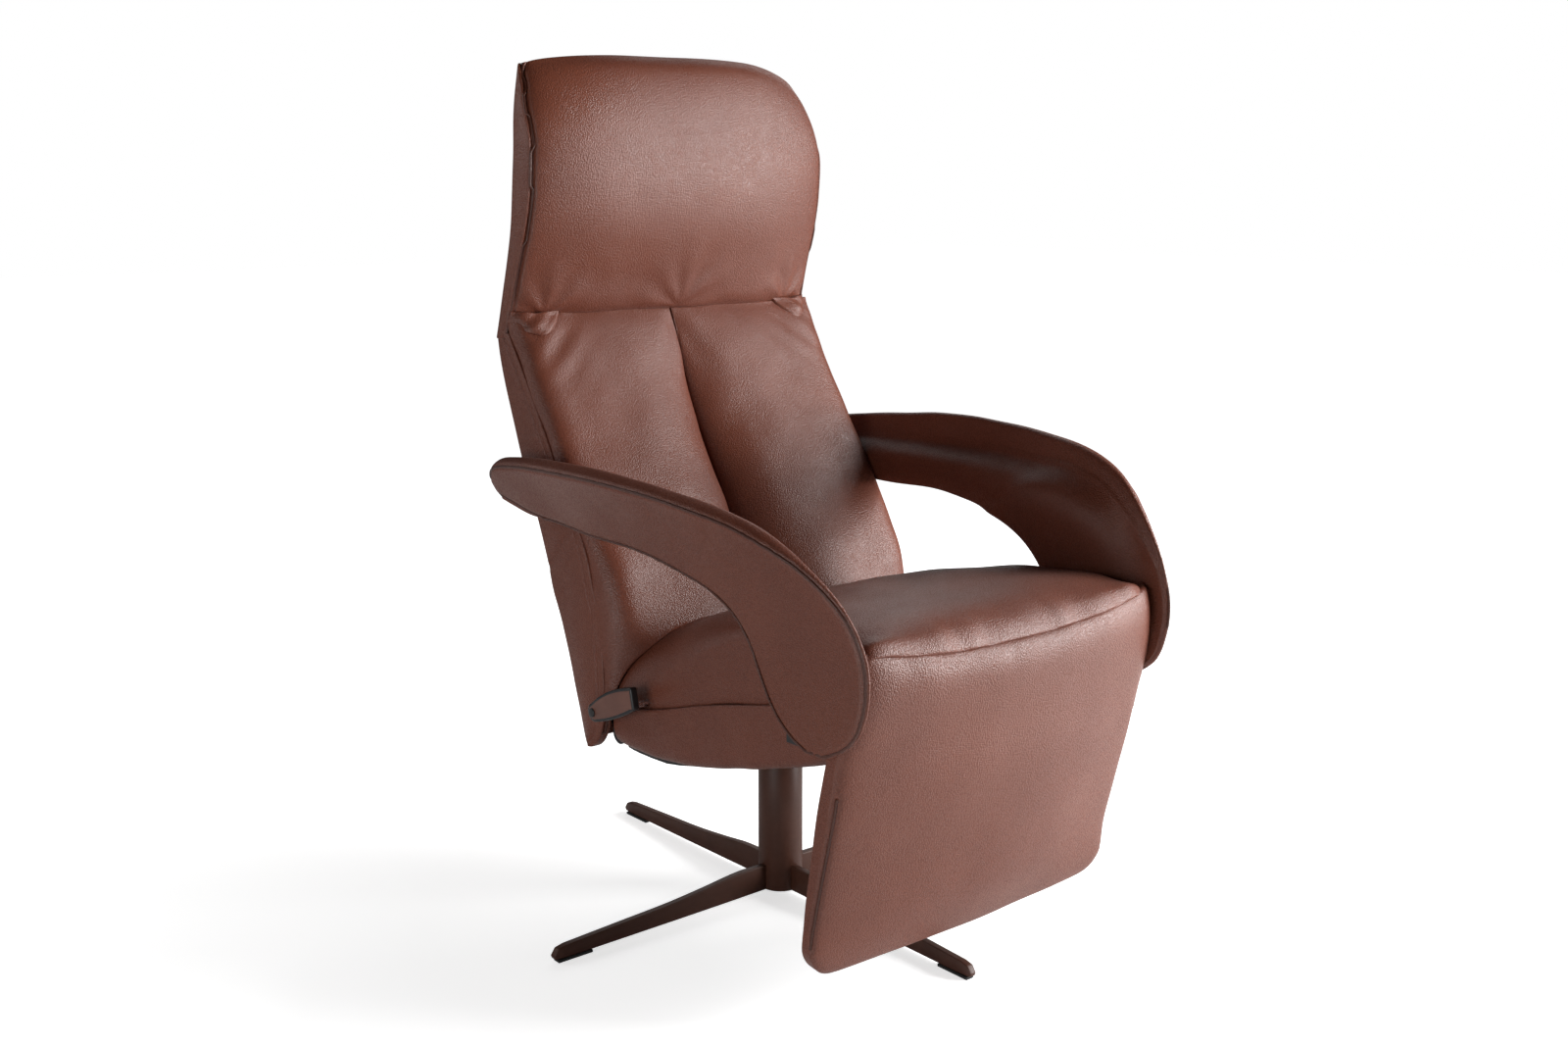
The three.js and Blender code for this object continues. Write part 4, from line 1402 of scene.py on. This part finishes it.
class RECLINER_OT_seat_box(bpy.types.Operator):
    """Builds the seat's side panels and liner"""
    bl_idname = "recliner.seat_box"
    bl_label = "Seat Sides"
    bl_options = {"REGISTER", "UNDO"}

    def execute(self, context):
        make_seat_box()
        return {"FINISHED"}


class RECLINER_OT_front(bpy.types.Operator):
    """Builds the pad over the knee and the legrest"""
    bl_idname = "recliner.front"
    bl_label = "Front Pad"
    bl_options = {"REGISTER", "UNDO"}

    def execute(self, context):
        make_front()
        return {"FINISHED"}


class RECLINER_OT_arms(bpy.types.Operator):
    """Builds the two armrests"""
    bl_idname = "recliner.arms"
    bl_label = "Armrests"
    bl_options = {"REGISTER", "UNDO"}

    def execute(self, context):
        make_arms()
        return {"FINISHED"}


class RECLINER_OT_backs(bpy.types.Operator):
    """Builds the two back cushions"""
    bl_idname = "recliner.backs"
    bl_label = "Back Pads"
    bl_options = {"REGISTER", "UNDO"}

    def execute(self, context):
        make_backs()
        return {"FINISHED"}


class RECLINER_OT_back_folds(bpy.types.Operator):
    """Builds the folded corners under the headrest"""
    bl_idname = "recliner.back_folds"
    bl_label = "Back Folds"
    bl_options = {"REGISTER", "UNDO"}

    def execute(self, context):
        make_back_folds()
        return {"FINISHED"}


class RECLINER_OT_back_cover(bpy.types.Operator):
    """Builds the back's side and rear panels"""
    bl_idname = "recliner.back_cover"
    bl_label = "Back Cover"
    bl_options = {"REGISTER", "UNDO"}

    def execute(self, context):
        make_back_cover()
        return {"FINISHED"}


class RECLINER_OT_head(bpy.types.Operator):
    """Builds the headrest"""
    bl_idname = "recliner.head"
    bl_label = "Headrest"
    bl_options = {"REGISTER", "UNDO"}

    def execute(self, context):
        make_head()
        return {"FINISHED"}


class RECLINER_OT_lever(bpy.types.Operator):
    """Builds the release lever"""
    bl_idname = "recliner.lever"
    bl_label = "Lever"
    bl_options = {"REGISTER", "UNDO"}

    def execute(self, context):
        make_lever()
        return {"FINISHED"}


class RECLINER_OT_stage(bpy.types.Operator):
    """Builds the floor, lights and camera"""
    bl_idname = "recliner.stage"
    bl_label = "Stage"
    bl_options = {"REGISTER", "UNDO"}

    def execute(self, context):
        make_stage(context.scene)
        return {"FINISHED"}


STEPS = (
    RECLINER_OT_frame_finishes, RECLINER_OT_base, RECLINER_OT_seat, RECLINER_OT_seat_box,
    RECLINER_OT_front, RECLINER_OT_arms, RECLINER_OT_backs, RECLINER_OT_back_folds,
    RECLINER_OT_back_cover, RECLINER_OT_head, RECLINER_OT_lever, RECLINER_OT_stage,
)


class RECLINER_PT_panel(bpy.types.Panel):
    """Lists the settings and the build steps"""
    bl_label = "Swivel Recliner"
    bl_space_type = "VIEW_3D"
    bl_region_type = "UI"
    bl_category = "Recliner"

    def draw(self, context):
        scene = context.scene
        for group in (scene.recliner_leather, scene.recliner_cushions,
                      scene.recliner_metal, scene.recliner_stage):
            box = self.layout.box()
            for key in group.bl_rna.properties.keys():
                if key not in ("rna_type", "name"):
                    box.prop(group, key)
        for cls in STEPS:
            self.layout.operator(cls.bl_idname)


SETTINGS = {
    "recliner_leather": ReclinerLeather,
    "recliner_cushions": ReclinerCushions,
    "recliner_metal": ReclinerMetal,
    "recliner_stage": ReclinerStage,
}


def register():
    """Registers the settings, the build steps and the panel."""
    for cls in (*SETTINGS.values(), *STEPS, RECLINER_PT_panel):
        bpy.utils.register_class(cls)
    for name, cls in SETTINGS.items():
        setattr(bpy.types.Scene, name, PointerProperty(type=cls))


def unregister():
    """Takes everything away again."""
    for name in SETTINGS:
        delattr(bpy.types.Scene, name)
    for cls in reversed((*SETTINGS.values(), *STEPS, RECLINER_PT_panel)):
        bpy.utils.unregister_class(cls)


def main():
    """Builds the chair step by step."""
    register()
    for cls in STEPS:
        getattr(bpy.ops.recliner, cls.bl_idname.split(".")[1])()


if __name__ == "__main__":
    main()
